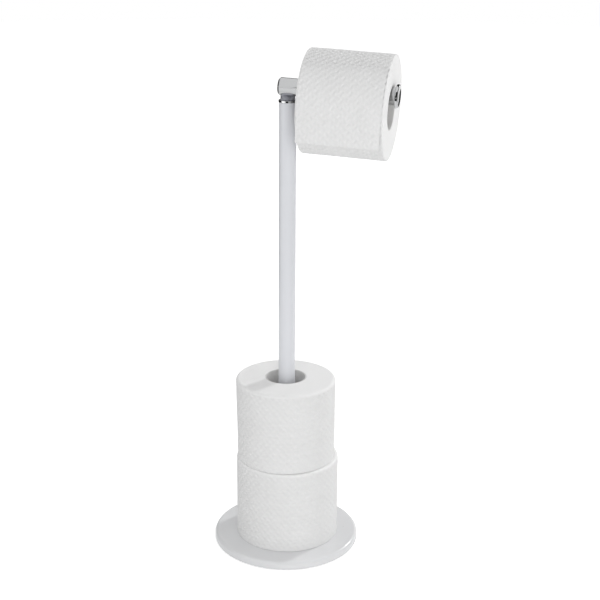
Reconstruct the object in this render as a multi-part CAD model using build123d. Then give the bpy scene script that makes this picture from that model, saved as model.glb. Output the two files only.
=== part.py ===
from build123d import *
import math
import os

# A free-standing holder for toilet rolls. A weighted round base carries a slim pole that two
# spare rolls stand around, and a plated head on the pole carries the roll in use on its arm.
# Millimetres. The origin is on the floor on the pole's axis, +Z is up and +X points to the side
# that the arm reaches out to.

# Base: a pressed steel shell over a cast weight, closed below by a plate and a soft pad
base_diameter = 170.0
base_height = 9.5
base_sheet = 1.4
base_edge_radius = 4.0
base_foot_radius = 0.5
base_floor_gap = 0.8
base_inner_clearance = 0.3
pad_diameter = 156.0
pad_thickness = 1.2
bottom_plate_thickness = 1.0
bottom_plate_access_diameter = 16.0
weight_top_chamfer = 3.0

# Four countersunk screws that hold the bottom plate to the weight
plate_screw_count = 4
plate_screw_circle = 124.0
plate_screw_diameter = 3.0
plate_screw_head_diameter = 5.6
plate_screw_length = 5.0
plate_screw_slot_width = 0.7
plate_screw_slot_depth = 0.5

# Screw and lock washer that hold the pole to the base
fixing_screw_diameter = 6.0
fixing_screw_length = 20.0
fixing_head_diameter = 11.0
fixing_head_height = 2.6
fixing_socket_width = 4.0
fixing_socket_depth = 1.6
fixing_head_recess = 0.3
fixing_hole_clearance = 0.2
fixing_tip_clearance = 1.5
lock_washer_diameter = 12.4
lock_washer_thickness = 1.0
lock_washer_slit = 1.2
weight_recess_clearance = 1.6

# Pole
pole_diameter = 19.0
pole_wall = 1.2
pole_length = 511.0
pole_end_chamfer = 0.3
pole_insert_length = 22.0

# Swivel in the pole's upper end
liner_length = 48.0
spigot_diameter = 12.0
spigot_length = 42.0
spigot_lead_chamfer = 1.2
running_clearance = 0.075
seat_clearance = 0.1
collar_diameter = 20.2
collar_height = 4.3
collar_lip_height = 1.8
collar_flare_sag = 0.35
collar_shoulder = 0.5
collar_skirt_diameter = 14.3
collar_skirt_depth = 10.0
collar_skirt_end_gap = 0.4
friction_ring_section = 1.34
friction_ring_depth = 24.0
friction_ring_squeeze_gap = 0.03
friction_groove_side_gap = 0.2

# Head: a short neck under a tube that falls a little towards its outer end
neck_diameter = 15.6
neck_show = 4.1
arm_fall_angle = 2.5
arm_diameter = 19.0
arm_wall = 1.2
arm_back_reach = 7.6
boss_diameter = 7.2
boss_rise = 0.8
boss_clearance = 0.02
back_cap_lip = 2.4
back_cap_edge_radius = 1.8
back_cap_plug_length = 3.4
back_cap_plug_wall = 1.4
end_insert_length = 12.0
end_stud_diameter = 6.0
end_stud_length = 10.0
end_stud_clearance = 0.02
end_disc_diameter = 26.0
end_disc_thickness = 3.6
end_disc_edge_radius = 1.4
end_disc_dish_diameter = 20.0
end_disc_dish_depth = 0.7

# Rolls: paper wound on a cardboard core
core_bore_diameter = 45.0
core_wall = 0.6
core_end_recess = 0.4
roll_rest_gap = 0.3
arm_roll_diameter = 112.8
arm_roll_width = 92.8
arm_roll_edge_radius = 2.0
arm_roll_pole_gap = 12.2
arm_roll_end_gap = 2.6
upper_roll_diameter = 114.0
upper_roll_width = 96.5
upper_roll_edge_radius = 3.0
upper_roll_shift_x = -1.0
upper_roll_shift_y = -0.3
lower_roll_diameter = 119.5
lower_roll_width = 97.5
lower_roll_edge_radius = 3.0
lower_roll_shift_x = 0.9
lower_roll_shift_y = 0.2

# Loose end of the roll in use: it follows the roll over its front and then hangs with a slow curl
tail_thickness = 0.5
tail_clearance = 0.1
tail_wrap_angle = 55.0
tail_hang_length = 35.5
tail_curl_radius = 340.0

# Overrun of every cutting body past the face that it opens
cut_overrun = 1.0

base_radius = base_diameter / 2
base_inner_radius = base_radius - base_sheet
base_underside = base_height - base_sheet
weight_foot = pad_thickness + bottom_plate_thickness
inner_disc_radius = base_inner_radius - base_inner_clearance
fixing_radius = fixing_screw_diameter / 2
fixing_hole_radius = fixing_radius + fixing_hole_clearance
fixing_head_foot = weight_foot + fixing_head_recess
washer_foot = fixing_head_foot + fixing_head_height
washer_top = washer_foot + lock_washer_thickness
weight_recess_radius = lock_washer_diameter / 2 + weight_recess_clearance

pole_radius = pole_diameter / 2
pole_bore_radius = pole_radius - pole_wall
pole_top = base_height + pole_length

spigot_radius = spigot_diameter / 2
spigot_bore_radius = spigot_radius + running_clearance
spigot_foot = pole_top - spigot_length
skirt_radius = collar_skirt_diameter / 2
collar_foot = pole_top + seat_clearance
collar_top = collar_foot + collar_height
neck_foot = collar_top + seat_clearance
neck_radius = neck_diameter / 2
arm_radius = arm_diameter / 2
arm_bore_radius = arm_radius - arm_wall
arm_height = neck_foot + neck_show + arm_radius
friction_ring_height = pole_top - friction_ring_depth
friction_ring_outer = spigot_bore_radius - friction_ring_squeeze_gap
friction_groove_radius = friction_ring_outer - friction_ring_section

core_bore_radius = core_bore_diameter / 2
core_radius = core_bore_radius + core_wall
arm_roll_left = pole_radius + arm_roll_pole_gap
arm_roll_right = arm_roll_left + arm_roll_width
arm_reach = arm_roll_right + arm_roll_end_gap
arm_roll_height = arm_height + arm_radius + roll_rest_gap - core_bore_radius
lower_roll_foot = base_height + roll_rest_gap
upper_roll_foot = lower_roll_foot + lower_roll_width + roll_rest_gap

STANDING = (Align.CENTER, Align.CENTER, Align.MIN)
QUARTER_TURN = 90


def post(radius, low, high):
    """Upright cylinder on the pole's axis, between two heights."""
    return Pos(0, 0, low) * Cylinder(radius, high - low, align=STANDING)


def tube(outer_radius, inner_radius, low, high):
    """Upright tube on the pole's axis, open at both ends."""
    return post(outer_radius, low, high) - post(inner_radius, low - cut_overrun, high + cut_overrun)


def along_arm(solid, start, height):
    """Lays a solid that stands at the origin level along the arm, its foot at a given place."""
    return Pos(start, 0, height) * Rot(0, QUARTER_TURN, 0) * solid


def fallen(solid):
    """Tips a solid that was laid level along the arm to the arm's fall, about the neck's centre."""
    return Pos(0, 0, arm_height) * Rot(0, arm_fall_angle, 0) * Pos(0, 0, -arm_height) * solid


def bar(radius, start, end, height):
    """Level cylinder along the arm, between two places on it."""
    return along_arm(Cylinder(radius, end - start, align=STANDING), start, height)


def level_tube(outer_radius, inner_radius, start, end, height):
    """Level tube along the arm, open at both ends."""
    bore = bar(inner_radius, start - cut_overrun, end + cut_overrun, height)
    return bar(outer_radius, start, end, height) - bore


def widest_edges(solid, count):
    """The circular edges of largest radius."""
    return solid.edges().filter_by(GeomType.CIRCLE).sort_by(SortBy.RADIUS)[-count:]


def make_base_shell():
    """Pressed dish: flat top, rounded shoulder and a skirt that ends just over the floor."""
    outer = post(base_radius, base_floor_gap, base_height)
    rims = outer.edges().filter_by(GeomType.CIRCLE).sort_by(Axis.Z)
    outer = fillet(rims[-1], base_edge_radius)
    rims = outer.edges().filter_by(GeomType.CIRCLE).sort_by(Axis.Z)
    outer = fillet(rims[0], base_foot_radius)
    inner = post(base_inner_radius, base_floor_gap - cut_overrun, base_underside)
    top_rim = inner.edges().filter_by(GeomType.CIRCLE).sort_by(Axis.Z)[-1]
    inner = fillet(top_rim, base_edge_radius - base_sheet)
    hole = post(fixing_hole_radius, base_underside - cut_overrun, base_height + cut_overrun)
    return outer - inner - hole


def plate_screw_places():
    """Places of the bottom plate's screws, between the arm's direction and its square."""
    half_step = 180 / plate_screw_count
    return PolarLocations(plate_screw_circle / 2, plate_screw_count, start_angle=half_step)


def make_base_weight():
    """Cast disc that fills the shell, recessed below for the pole's screw."""
    disc = post(inner_disc_radius, weight_foot, base_underside)
    top_rim = disc.edges().filter_by(GeomType.CIRCLE).sort_by(Axis.Z)[-1]
    disc = chamfer(top_rim, weight_top_chamfer)
    disc -= post(fixing_hole_radius, weight_foot - cut_overrun, base_underside + cut_overrun)
    disc -= post(weight_recess_radius, weight_foot - cut_overrun, washer_top)
    hole_depth = plate_screw_length - bottom_plate_thickness
    hole = Cylinder(plate_screw_diameter / 2, hole_depth, align=STANDING)
    for place in plate_screw_places():
        disc -= Pos(0, 0, weight_foot) * place * hole
    return disc


def make_bottom_plate():
    """Flat plate with an access hole under the pole's screw and countersunk screw holes."""
    plate = tube(inner_disc_radius, bottom_plate_access_diameter / 2, pad_thickness, weight_foot)
    sink = Cone(
        plate_screw_head_diameter / 2,
        plate_screw_diameter / 2,
        bottom_plate_thickness,
        align=STANDING,
    )
    for place in plate_screw_places():
        plate -= Pos(0, 0, pad_thickness) * place * sink
    return plate


def make_plate_screws():
    """Countersunk screws, heads down, flush with the bottom plate."""
    head = Cone(
        plate_screw_head_diameter / 2,
        plate_screw_diameter / 2,
        bottom_plate_thickness,
        align=STANDING,
    )
    shank_length = plate_screw_length - bottom_plate_thickness
    shank = Pos(0, 0, bottom_plate_thickness) * Cylinder(
        plate_screw_diameter / 2, shank_length, align=STANDING
    )
    slot = Box(plate_screw_head_diameter, plate_screw_slot_width, plate_screw_slot_depth, align=STANDING)
    screw = head + shank - slot
    return [Pos(0, 0, pad_thickness) * place * screw for place in plate_screw_places()]


def make_base_pad():
    """Soft disc that the stand rests on."""
    return post(pad_diameter / 2, 0, pad_thickness)


def make_fixing_screw():
    """Low-headed socket screw that rises through the base into the pole's insert."""
    head = post(fixing_head_diameter / 2, fixing_head_foot, washer_foot)
    shank = post(fixing_radius, washer_foot, washer_foot + fixing_screw_length)
    socket = extrude(
        Pos(0, 0, fixing_head_foot) * RegularPolygon(fixing_socket_width / 2, 6, major_radius=False),
        amount=fixing_socket_depth,
    )
    return head + shank - socket


def make_lock_washer():
    """Split ring between the screw's head and the weight."""
    ring = tube(lock_washer_diameter / 2, fixing_hole_radius, washer_foot, washer_top)
    slit = Pos(0, 0, washer_foot) * Box(
        lock_washer_diameter,
        lock_washer_slit,
        lock_washer_thickness,
        align=(Align.MIN, Align.CENTER, Align.MIN),
    )
    return ring - slit


def make_pole_insert():
    """Threaded plug in the pole's lower end."""
    insert_top = base_height + pole_insert_length
    plug = post(pole_bore_radius, base_height, insert_top)
    screw_tip = washer_foot + fixing_screw_length
    bore_top = min(screw_tip + fixing_tip_clearance, insert_top + cut_overrun)
    return plug - post(fixing_radius, base_height - cut_overrun, bore_top)


def make_pole():
    """Round tube from the base to the collar, its end edges just broken."""
    pole = tube(pole_radius, pole_bore_radius, base_height, pole_top)
    return chamfer(widest_edges(pole, 2), pole_end_chamfer)


def make_pole_liner():
    """Bush pressed into the pole, stepped for the collar's skirt and the spigot."""
    liner = tube(pole_bore_radius, spigot_bore_radius, pole_top - liner_length, pole_top)
    step_foot = collar_foot - collar_skirt_depth - collar_skirt_end_gap
    return liner - post(skirt_radius + running_clearance, step_foot, pole_top + cut_overrun)


def make_collar():
    """Turned ring on the pole's end: rounded lip, hollow flare and a skirt inside the liner."""
    radius = collar_diameter / 2
    lip = collar_lip_height / 2
    lip_top = collar_foot + collar_lip_height
    lip_inner = radius - lip
    shoulder = neck_radius + collar_shoulder
    flare_middle = ((lip_inner + shoulder) / 2 - collar_flare_sag, (lip_top + collar_top) / 2)
    skirt_foot = collar_foot - collar_skirt_depth
    outline = Polyline(
        (lip_inner, collar_foot),
        (skirt_radius, collar_foot),
        (skirt_radius, skirt_foot),
        (spigot_bore_radius, skirt_foot),
        (spigot_bore_radius, collar_top),
        (shoulder, collar_top),
    )
    outline += ThreePointArc((shoulder, collar_top), flare_middle, (lip_inner, lip_top))
    outline += ThreePointArc((lip_inner, lip_top), (radius, collar_foot + lip), (lip_inner, collar_foot))
    return revolve(make_face(Plane.XZ * outline), axis=Axis.Z)


def make_head_neck():
    """Neck that saddles the arm from below, over a long grooved spigot."""
    spigot = post(spigot_radius, spigot_foot, neck_foot)
    foot_edge = spigot.edges().filter_by(GeomType.CIRCLE).sort_by(Axis.Z)[0]
    spigot = chamfer(foot_edge, spigot_lead_chamfer)
    half_groove = friction_ring_section / 2 + friction_groove_side_gap
    spigot -= tube(
        spigot_radius + cut_overrun,
        friction_groove_radius,
        friction_ring_height - half_groove,
        friction_ring_height + half_groove,
    )
    neck = post(neck_radius, neck_foot, arm_height)
    saddle_reach = neck_radius + cut_overrun
    neck -= fallen(bar(arm_radius, -saddle_reach, saddle_reach, arm_height))
    boss_top = arm_height - arm_bore_radius + boss_rise
    return spigot + neck + post(boss_diameter / 2, neck_foot, boss_top)


def make_friction_ring():
    """Rubber ring in the spigot's groove that holds the arm where it is turned."""
    section_radius = friction_ring_section / 2
    ring = Torus(friction_ring_outer - section_radius, section_radius)
    return Pos(0, 0, friction_ring_height) * ring


def make_arm_tube():
    """Tube with an upright hole in its underside for the neck's boss."""
    arm = level_tube(arm_radius, arm_bore_radius, -arm_back_reach, arm_reach, arm_height)
    return fallen(arm) - post(boss_diameter / 2 + boss_clearance, neck_foot, arm_height)


def make_back_cap():
    """Rounded cap with a hollow plug that closes the arm behind the pole."""
    back = -arm_back_reach - back_cap_lip
    cap = bar(arm_radius, back, -arm_back_reach, arm_height)
    back_rim = cap.edges().filter_by(GeomType.CIRCLE).sort_by(Axis.X)[0]
    cap = fillet(back_rim, back_cap_edge_radius)
    plug_end = -arm_back_reach + back_cap_plug_length
    plug = bar(arm_bore_radius, -arm_back_reach, plug_end, arm_height)
    hollow_radius = arm_bore_radius - back_cap_plug_wall
    hollow = bar(hollow_radius, -arm_back_reach, plug_end + cut_overrun, arm_height)
    return fallen(cap + (plug - hollow))


def make_end_insert():
    """Threaded plug in the arm's outer end."""
    bore_radius = end_stud_diameter / 2
    inner_end = arm_reach - end_insert_length
    return fallen(level_tube(arm_bore_radius, bore_radius, inner_end, arm_reach, arm_height))


def make_end_disc():
    """Disc that keeps the roll on the arm: rounded rim, dished face and a stud behind it."""
    face = arm_reach + end_disc_thickness
    disc = bar(end_disc_diameter / 2, arm_reach, face, arm_height)
    disc = fillet(widest_edges(disc, 2), end_disc_edge_radius)
    dish_reach = end_disc_dish_diameter / 2
    dish_radius = (dish_reach**2 + end_disc_dish_depth**2) / (2 * end_disc_dish_depth)
    disc -= Pos(face - end_disc_dish_depth + dish_radius, 0, arm_height) * Sphere(dish_radius)
    stud_radius = end_stud_diameter / 2 - end_stud_clearance
    return fallen(disc + bar(stud_radius, arm_reach - end_stud_length, arm_reach, arm_height))


def standing_core(width):
    """Cardboard core, standing at the origin and a little shorter than its paper."""
    return tube(core_radius, core_bore_radius, core_end_recess, width - core_end_recess)


def standing_paper(diameter, width, edge_radius):
    """Wound paper, standing at the origin, with soft outer edges."""
    paper = tube(diameter / 2, core_radius, 0, width)
    return fillet(widest_edges(paper, 2), edge_radius)


def make_arm_roll_core():
    """Core of the roll in use, hanging on the arm's upper side."""
    return fallen(along_arm(standing_core(arm_roll_width), arm_roll_left, arm_roll_height))


def make_arm_roll_paper():
    """Paper of the roll in use."""
    paper = standing_paper(arm_roll_diameter, arm_roll_width, arm_roll_edge_radius)
    return fallen(along_arm(paper, arm_roll_left, arm_roll_height))


def make_arm_roll_tail():
    """Loose end: a thin band that leaves the roll at its front and hangs below the axis."""
    inner = arm_roll_diameter / 2 + tail_clearance
    outer = inner + tail_thickness
    hang_angle = math.degrees(tail_hang_length / tail_curl_radius)
    curl_centre = (tail_curl_radius - inner, 0)
    wrap_start = 180 - tail_wrap_angle
    inner_wrap = CenterArc((0, 0), inner, wrap_start, tail_wrap_angle)
    outer_wrap = CenterArc((0, 0), outer, wrap_start, tail_wrap_angle)
    inner_hang = CenterArc(curl_centre, tail_curl_radius, 180, hang_angle)
    outer_hang = CenterArc(curl_centre, tail_curl_radius + tail_thickness, 180, hang_angle)
    start = Line(inner_wrap @ 0, outer_wrap @ 0)
    end = Line(inner_hang @ 1, outer_hang @ 1)
    outline = inner_wrap + inner_hang + end + outer_hang + outer_wrap + start
    width = arm_roll_width - 2 * arm_roll_edge_radius
    band = extrude(make_face(Plane.YZ * outline), amount=width, dir=(1, 0, 0))
    return fallen(Pos(arm_roll_left + arm_roll_edge_radius, 0, arm_roll_height) * band)


def make_upper_roll():
    """Core and paper of the upper spare roll, which leans a little off the pole's axis."""
    place = Pos(upper_roll_shift_x, upper_roll_shift_y, upper_roll_foot)
    paper = standing_paper(upper_roll_diameter, upper_roll_width, upper_roll_edge_radius)
    return place * standing_core(upper_roll_width), place * paper


def make_lower_roll():
    """Core and paper of the lower spare roll, which stands on the base."""
    place = Pos(lower_roll_shift_x, lower_roll_shift_y, lower_roll_foot)
    paper = standing_paper(lower_roll_diameter, lower_roll_width, lower_roll_edge_radius)
    return place * standing_core(lower_roll_width), place * paper


upper_roll_core, upper_roll_paper = make_upper_roll()
lower_roll_core, lower_roll_paper = make_lower_roll()

nodes = {
    "base_shell": make_base_shell(),
    "base_weight": make_base_weight(),
    "bottom_plate": make_bottom_plate(),
    "bottom_plate_screws": make_plate_screws(),
    "base_pad": make_base_pad(),
    "pole_fixing_screw": make_fixing_screw(),
    "pole_lock_washer": make_lock_washer(),
    "pole_insert": make_pole_insert(),
    "pole": make_pole(),
    "pole_liner": make_pole_liner(),
    "swivel_collar": make_collar(),
    "head_neck": make_head_neck(),
    "friction_ring": make_friction_ring(),
    "arm_tube": make_arm_tube(),
    "arm_back_cap": make_back_cap(),
    "arm_end_insert": make_end_insert(),
    "end_disc": make_end_disc(),
    "arm_roll_core": make_arm_roll_core(),
    "arm_roll_paper": make_arm_roll_paper(),
    "arm_roll_tail": make_arm_roll_tail(),
    "upper_roll_core": upper_roll_core,
    "upper_roll_paper": upper_roll_paper,
    "lower_roll_core": lower_roll_core,
    "lower_roll_paper": lower_roll_paper,
}

os.makedirs("parts", exist_ok=True)
for name, shape in nodes.items():
    solids = shape if isinstance(shape, list) else shape.solids()
    export_step(Compound(children=list(solids), label=name), f"parts/{name}.step")

fall = math.radians(arm_fall_angle)
arm_roll_middle = (arm_roll_left + arm_roll_right) / 2
arm_roll_drop = arm_height - arm_roll_height
spin_x = arm_roll_middle * math.cos(fall) - arm_roll_drop * math.sin(fall)
spin_z = arm_height - arm_roll_middle * math.sin(fall) - arm_roll_drop * math.cos(fall)
print("arm axis height at the pole", round(arm_height, 2))
print("arm roll turns about", round(spin_x, 3), 0, round(spin_z, 3))
print("in the direction", round(math.cos(fall), 6), 0, round(-math.sin(fall), 6))
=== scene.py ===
"""Dressed model of a free-standing holder for toilet rolls.

A round powder-coated base carries a slim pole with two spare rolls round it, and a plated head with an
arm holds the roll in use. The holder's sizes are millimetres, and every mesh is scaled to metres when it
is made. The studio's sizes and the depths of a finish are metres. The origin is on the floor on the
pole's axis, +Z is up and +X points to the arm's side.
"""

import logging
import math
from dataclasses import dataclass, replace
from enum import Enum
from typing import Optional, Sequence

import bpy
import numpy as np
from mathutils import Matrix, Vector

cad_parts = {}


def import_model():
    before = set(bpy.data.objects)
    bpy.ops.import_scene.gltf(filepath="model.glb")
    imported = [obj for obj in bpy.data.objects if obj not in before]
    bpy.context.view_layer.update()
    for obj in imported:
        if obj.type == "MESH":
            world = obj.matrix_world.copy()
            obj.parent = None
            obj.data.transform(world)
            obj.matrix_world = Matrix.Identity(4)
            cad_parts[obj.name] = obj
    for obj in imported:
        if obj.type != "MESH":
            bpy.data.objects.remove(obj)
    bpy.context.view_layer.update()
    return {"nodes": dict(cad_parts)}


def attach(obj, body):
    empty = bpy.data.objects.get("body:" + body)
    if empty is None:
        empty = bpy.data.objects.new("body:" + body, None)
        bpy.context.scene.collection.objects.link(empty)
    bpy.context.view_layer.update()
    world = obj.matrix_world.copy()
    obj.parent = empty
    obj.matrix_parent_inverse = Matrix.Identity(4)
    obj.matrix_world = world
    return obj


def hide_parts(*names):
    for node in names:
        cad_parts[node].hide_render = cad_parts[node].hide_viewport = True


LOG = logging.getLogger("paper_holder")
METRE_PER_MM = 0.001
FULL_TURN = 2.0 * math.pi
ORIGIN = (0.0, 0.0, 0.0)
WHITE = (1.0, 1.0, 1.0, 1.0)
SAME_POINT = 1e-6  # profile points nearer than this are one
HOLD_SHARE = 0.3  # the furthest in that the close points of a run stand
POINTS_ROUND = 128  # points in a ring of the slim turned pieces
TISSUE_SHARP = 60.0  # tissue is shaded smooth up to this angle in degrees
WAVES = 6  # waves that make up a slow unevenness
NEIGHBOURS = tuple((across, around) for across in (-1, 0, 1) for around in (-1, 0, 1))
Colour = tuple[float, float, float]
Point = tuple[float, float, float]


class Axis(Enum):
    """Direction of a turned piece's own axis, with the two directions that its rings lie in."""

    UP = ((0.0, 0.0, 1.0), (1.0, 0.0, 0.0), (0.0, 1.0, 0.0))
    ARM = ((1.0, 0.0, 0.0), (0.0, 1.0, 0.0), (0.0, 0.0, 1.0))


class Body(Enum):
    """The rigid bodies of the holder."""

    STAND = "stand"
    COLLAR = "collar"
    HEAD = "head"
    ARM_ROLL = "arm_roll"
    UPPER_ROLL = "upper_roll"
    LOWER_ROLL = "lower_roll"


class Socket(Enum):
    """What goes in or out of a shared group: a place, a colour or a number."""

    PLACE = "NodeSocketVector"
    COLOUR = "NodeSocketColor"
    NUMBER = "NodeSocketFloat"


@dataclass(frozen=True)
class Skin:
    """A closed surface on a grid, before it is a mesh.

    points holds its corners in millimetres. quads and fans index them, and the uv arrays hold one pair
    for each corner of each face. winding holds a second pair for each corner: the count of paper layers
    from the roll's core, and 1 on a wound roll's end faces or 0 elsewhere.
    """

    points: np.ndarray
    quads: np.ndarray
    quad_uv: np.ndarray
    fans: np.ndarray
    fan_uv: np.ndarray
    quad_winding: Optional[np.ndarray] = None


def arc(centre: Sequence[float], radius: float, start: float, end: float, steps: int) -> np.ndarray:
    """Points of a circular arc in a profile's plane.

    Point i is centre + radius * (cos, sin) of the angle that goes evenly from start to end.

    Args:
        centre: Place of the arc's centre, as (along the axis, out from the axis).
        radius: The arc's radius.
        start: First angle in degrees.
        end: Last angle in degrees.
        steps: Number of equal steps along the arc.

    Returns:
        An array of steps + 1 points.
    """
    angle = np.radians(np.linspace(start, end, steps + 1))
    return np.array(centre) + radius * np.stack([np.cos(angle), np.sin(angle)], axis=1)


def straight(first: Sequence[float], last: Sequence[float], steps: int = 1, hold: float = 0.12) -> np.ndarray:
    """Points of a straight run in a profile, with a close point near each end.

    The close points, hold millimetres in, keep the shading of a flat run flat beside a rounded one. On
    a short run they stand at most HOLD_SHARE of it in.

    Args:
        first: Where the run starts.
        last: Where it ends.
        steps: Number of equal steps between the two close points.
        hold: Distance of the close points from the ends.

    Returns:
        An array of steps + 3 points.
    """
    a, b = np.array(first, float), np.array(last, float)
    near = min(HOLD_SHARE, hold / max(np.linalg.norm(b - a), SAME_POINT))
    share = np.concatenate([[0.0], np.linspace(near, 1.0 - near, steps + 1), [1.0]])
    return a + share[:, None] * (b - a)


def joined(*runs: np.ndarray) -> np.ndarray:
    """Joins runs into one profile, without the points that the next run repeats.

    Args:
        *runs: The runs in order, each an array of points.

    Returns:
        The profile.
    """
    points = np.concatenate(runs)
    step = np.linalg.norm(np.diff(points, axis=0), axis=1)
    return points[np.concatenate([[True], step > SAME_POINT])]


def cornered(corners: Sequence[Sequence[float]], steps: Sequence[int]) -> np.ndarray:
    """Straight runs from corner to corner, each with its own number of steps."""
    return joined(*(straight(a, b, n) for a, b, n in zip(corners, corners[1:], steps)))


def run_along(profile: np.ndarray) -> np.ndarray:
    """Distance of each point of a profile from its first one, along it."""
    step = np.linalg.norm(np.diff(profile, axis=0), axis=1)
    return np.concatenate([[0.0], np.cumsum(step)])


def spun(
    along: np.ndarray, out: np.ndarray, angle: np.ndarray, axis: Axis, centre: Sequence[float]
) -> np.ndarray:
    """Points round an axis.

    Each point is centre + along * axis + out * (cos(angle) * first side + sin(angle) * second side).

    Args:
        along: Place along the axis, any array shape.
        out: Distance from the axis, in a shape that broadcasts with along.
        angle: Angle round the axis in radians, in a shape that broadcasts with both.
        axis: Direction of the axis.
        centre: A point that the axis passes, from which along is counted.

    Returns:
        An array of the broadcast shape with x, y, z as its last dimension.
    """
    ahead, side, across = (np.array(v) for v in axis.value)
    along, out, angle = np.broadcast_arrays(along, out, angle)
    return (
        np.array(centre)
        + along[..., None] * ahead
        + (out * np.cos(angle))[..., None] * side
        + (out * np.sin(angle))[..., None] * across
    )


def ring_skin(grid: np.ndarray, run: np.ndarray, loop: bool, winding: Optional[np.ndarray] = None) -> Skin:
    """Closes a grid of rings into a skin.

    Ring i joins ring i + 1, and a ring's last point joins its first. With loop the last ring joins the
    first, which closes a tube with a wall. Without, the first and last rings shrink to one point each.
    U is the share of a turn and V is the distance along the profile in metres.

    Args:
        grid: Points as (rings, points in a ring, 3).
        run: Distance of each ring along the profile, in millimetres.
        loop: Whether the last ring joins the first.
        winding: Layer count and end-face mark of each ring as (rings, 2), or None.

    Returns:
        The closed skin.
    """
    rings, count = grid.shape[:2]
    start = 0 if loop else 1
    body = grid if loop else grid[1:-1]
    rows = len(body)
    row = np.arange(rows if loop else rows - 1)
    col = np.arange(count)
    here = row[:, None] * count
    above = ((row + 1) % rows)[:, None] * count
    right = (col + 1) % count
    quads = np.stack([here + col, here + right, above + right, above + col], axis=-1).reshape(-1, 4)
    turn = np.stack([col, col + 1, col + 1, col], axis=-1) / count
    length = np.append(run, run[-1] + np.linalg.norm(grid[0, 0] - grid[-1, 0])) * METRE_PER_MM
    low, high = length[start + row], length[start + row + 1]
    v = np.stack([low, low, high, high], axis=-1)
    shape = (len(row), count, 4)
    quad_uv = np.stack(
        [np.broadcast_to(turn[None], shape), np.broadcast_to(v[:, None], shape)], axis=-1
    ).reshape(-1, 4, 2)
    quad_winding = None
    if winding is not None:
        layer = np.append(winding, winding[:1], axis=0)
        near, far = layer[start + row], layer[start + row + 1]
        corner = np.stack([near, near, far, far], axis=1)[:, None]
        corner = np.broadcast_to(corner, shape + (2,)).copy()
        corner[..., 0] += turn[None]
        quad_winding = corner.reshape(-1, 4, 2)
    points = body.reshape(-1, 3)
    fans = np.zeros((0, 3), int)
    fan_uv = np.zeros((0, 3, 2))
    if not loop:
        low_pole, high_pole = len(points), len(points) + 1
        points = np.concatenate([points, grid[0].mean(axis=0)[None], grid[-1].mean(axis=0)[None]])
        last = (rows - 1) * count
        low_fan = np.stack([np.full(count, low_pole), right, col], axis=-1)
        high_fan = np.stack([np.full(count, high_pole), last + col, last + right], axis=-1)
        fans = np.concatenate([low_fan, high_fan])
        middle = (col + 0.5) / count
        low_uv = [(middle, length[0]), ((col + 1) / count, length[1]), (col / count, length[1])]
        high_uv = [(middle, length[-2]), (col / count, length[-3]), ((col + 1) / count, length[-3])]
        corners = [[np.stack([u, np.full(count, w)], axis=-1) for u, w in side] for side in (low_uv, high_uv)]
        fan_uv = np.concatenate([np.stack(side, axis=1) for side in corners])
    return Skin(points, quads, quad_uv, fans, fan_uv, quad_winding)


def band_skin(outer: np.ndarray, inner: np.ndarray, across: np.ndarray, along: np.ndarray) -> Skin:
    """Closes two grids that lie face to face into the skin of a thin band.

    The outer grid's quads, the inner grid's quads the other way round, and a strip of quads along each
    of the four borders make one closed surface.

    Args:
        outer: Points of the outer face as (rows, columns, 3).
        inner: Points of the inner face in the same order.
        across: Distance of each column across the band, in millimetres.
        along: Distance of each row along the band, in millimetres.

    Returns:
        The closed skin, with U across and V along in metres.
    """
    rows, columns = outer.shape[:2]
    index = np.arange(rows * columns).reshape(rows, columns)
    back = index + rows * columns
    front = np.stack([index[:-1, :-1], index[:-1, 1:], index[1:, 1:], index[1:, :-1]], axis=-1)
    rear = np.stack([back[:-1, :-1], back[1:, :-1], back[1:, 1:], back[:-1, 1:]], axis=-1)
    strips = []
    for line, under in (
        (index[0, ::-1], back[0, ::-1]),
        (index[-1], back[-1]),
        (index[:, 0], back[:, 0]),
        (index[::-1, -1], back[::-1, -1]),
    ):
        strips.append(np.stack([line[:-1], line[1:], under[1:], under[:-1]], axis=-1))
    quads = np.concatenate([front.reshape(-1, 4), rear.reshape(-1, 4), *strips])
    place = np.stack(np.meshgrid(across, along), axis=-1).reshape(-1, 2) * METRE_PER_MM
    place = np.concatenate([place, place])
    points = np.concatenate([outer.reshape(-1, 3), inner.reshape(-1, 3)])
    return Skin(points, quads, place[quads], np.zeros((0, 3), int), np.zeros((0, 3, 2)))


@dataclass(frozen=True)
class Fall:
    """How far the arm falls towards its outer end, turned about a point on the pole's axis."""

    height: float = 0.0
    degrees: float = 0.0

    def carry(self, points: np.ndarray) -> np.ndarray:
        """Turns points that were placed for a level arm.

        With a the angle and z counted from the height, x' = x cos a + z sin a and z' = z cos a - x sin a.

        Args:
            points: Points with x, y, z as their last dimension.

        Returns:
            The turned points.
        """
        cosine, sine = math.cos(math.radians(self.degrees)), math.sin(math.radians(self.degrees))
        x, y, z = points[..., 0], points[..., 1], points[..., 2] - self.height
        return np.stack([x * cosine + z * sine, y, self.height + z * cosine - x * sine], axis=-1)

    def carry_skin(self, skin: Skin) -> Skin:
        """Turns a whole skin that was placed for a level arm."""
        return replace(skin, points=self.carry(skin.points))


def enclosed(points: np.ndarray, quads: np.ndarray, fans: np.ndarray) -> float:
    """Signed volume inside a closed surface: the sum of dot(a, cross(b, c)) / 6 over its triangles.

    Args:
        points: Its corners.
        quads: The corners of each quad.
        fans: The corners of each triangle.

    Returns:
        The volume, below 0 where the faces point inwards.
    """
    halves = np.concatenate([quads[:, [0, 1, 2]], quads[:, [0, 2, 3]], fans])
    a, b, c = (points[halves[:, i]] for i in range(3))
    return float(np.einsum("ij,ij->i", a, np.cross(b, c)).sum() / 6.0)


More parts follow.
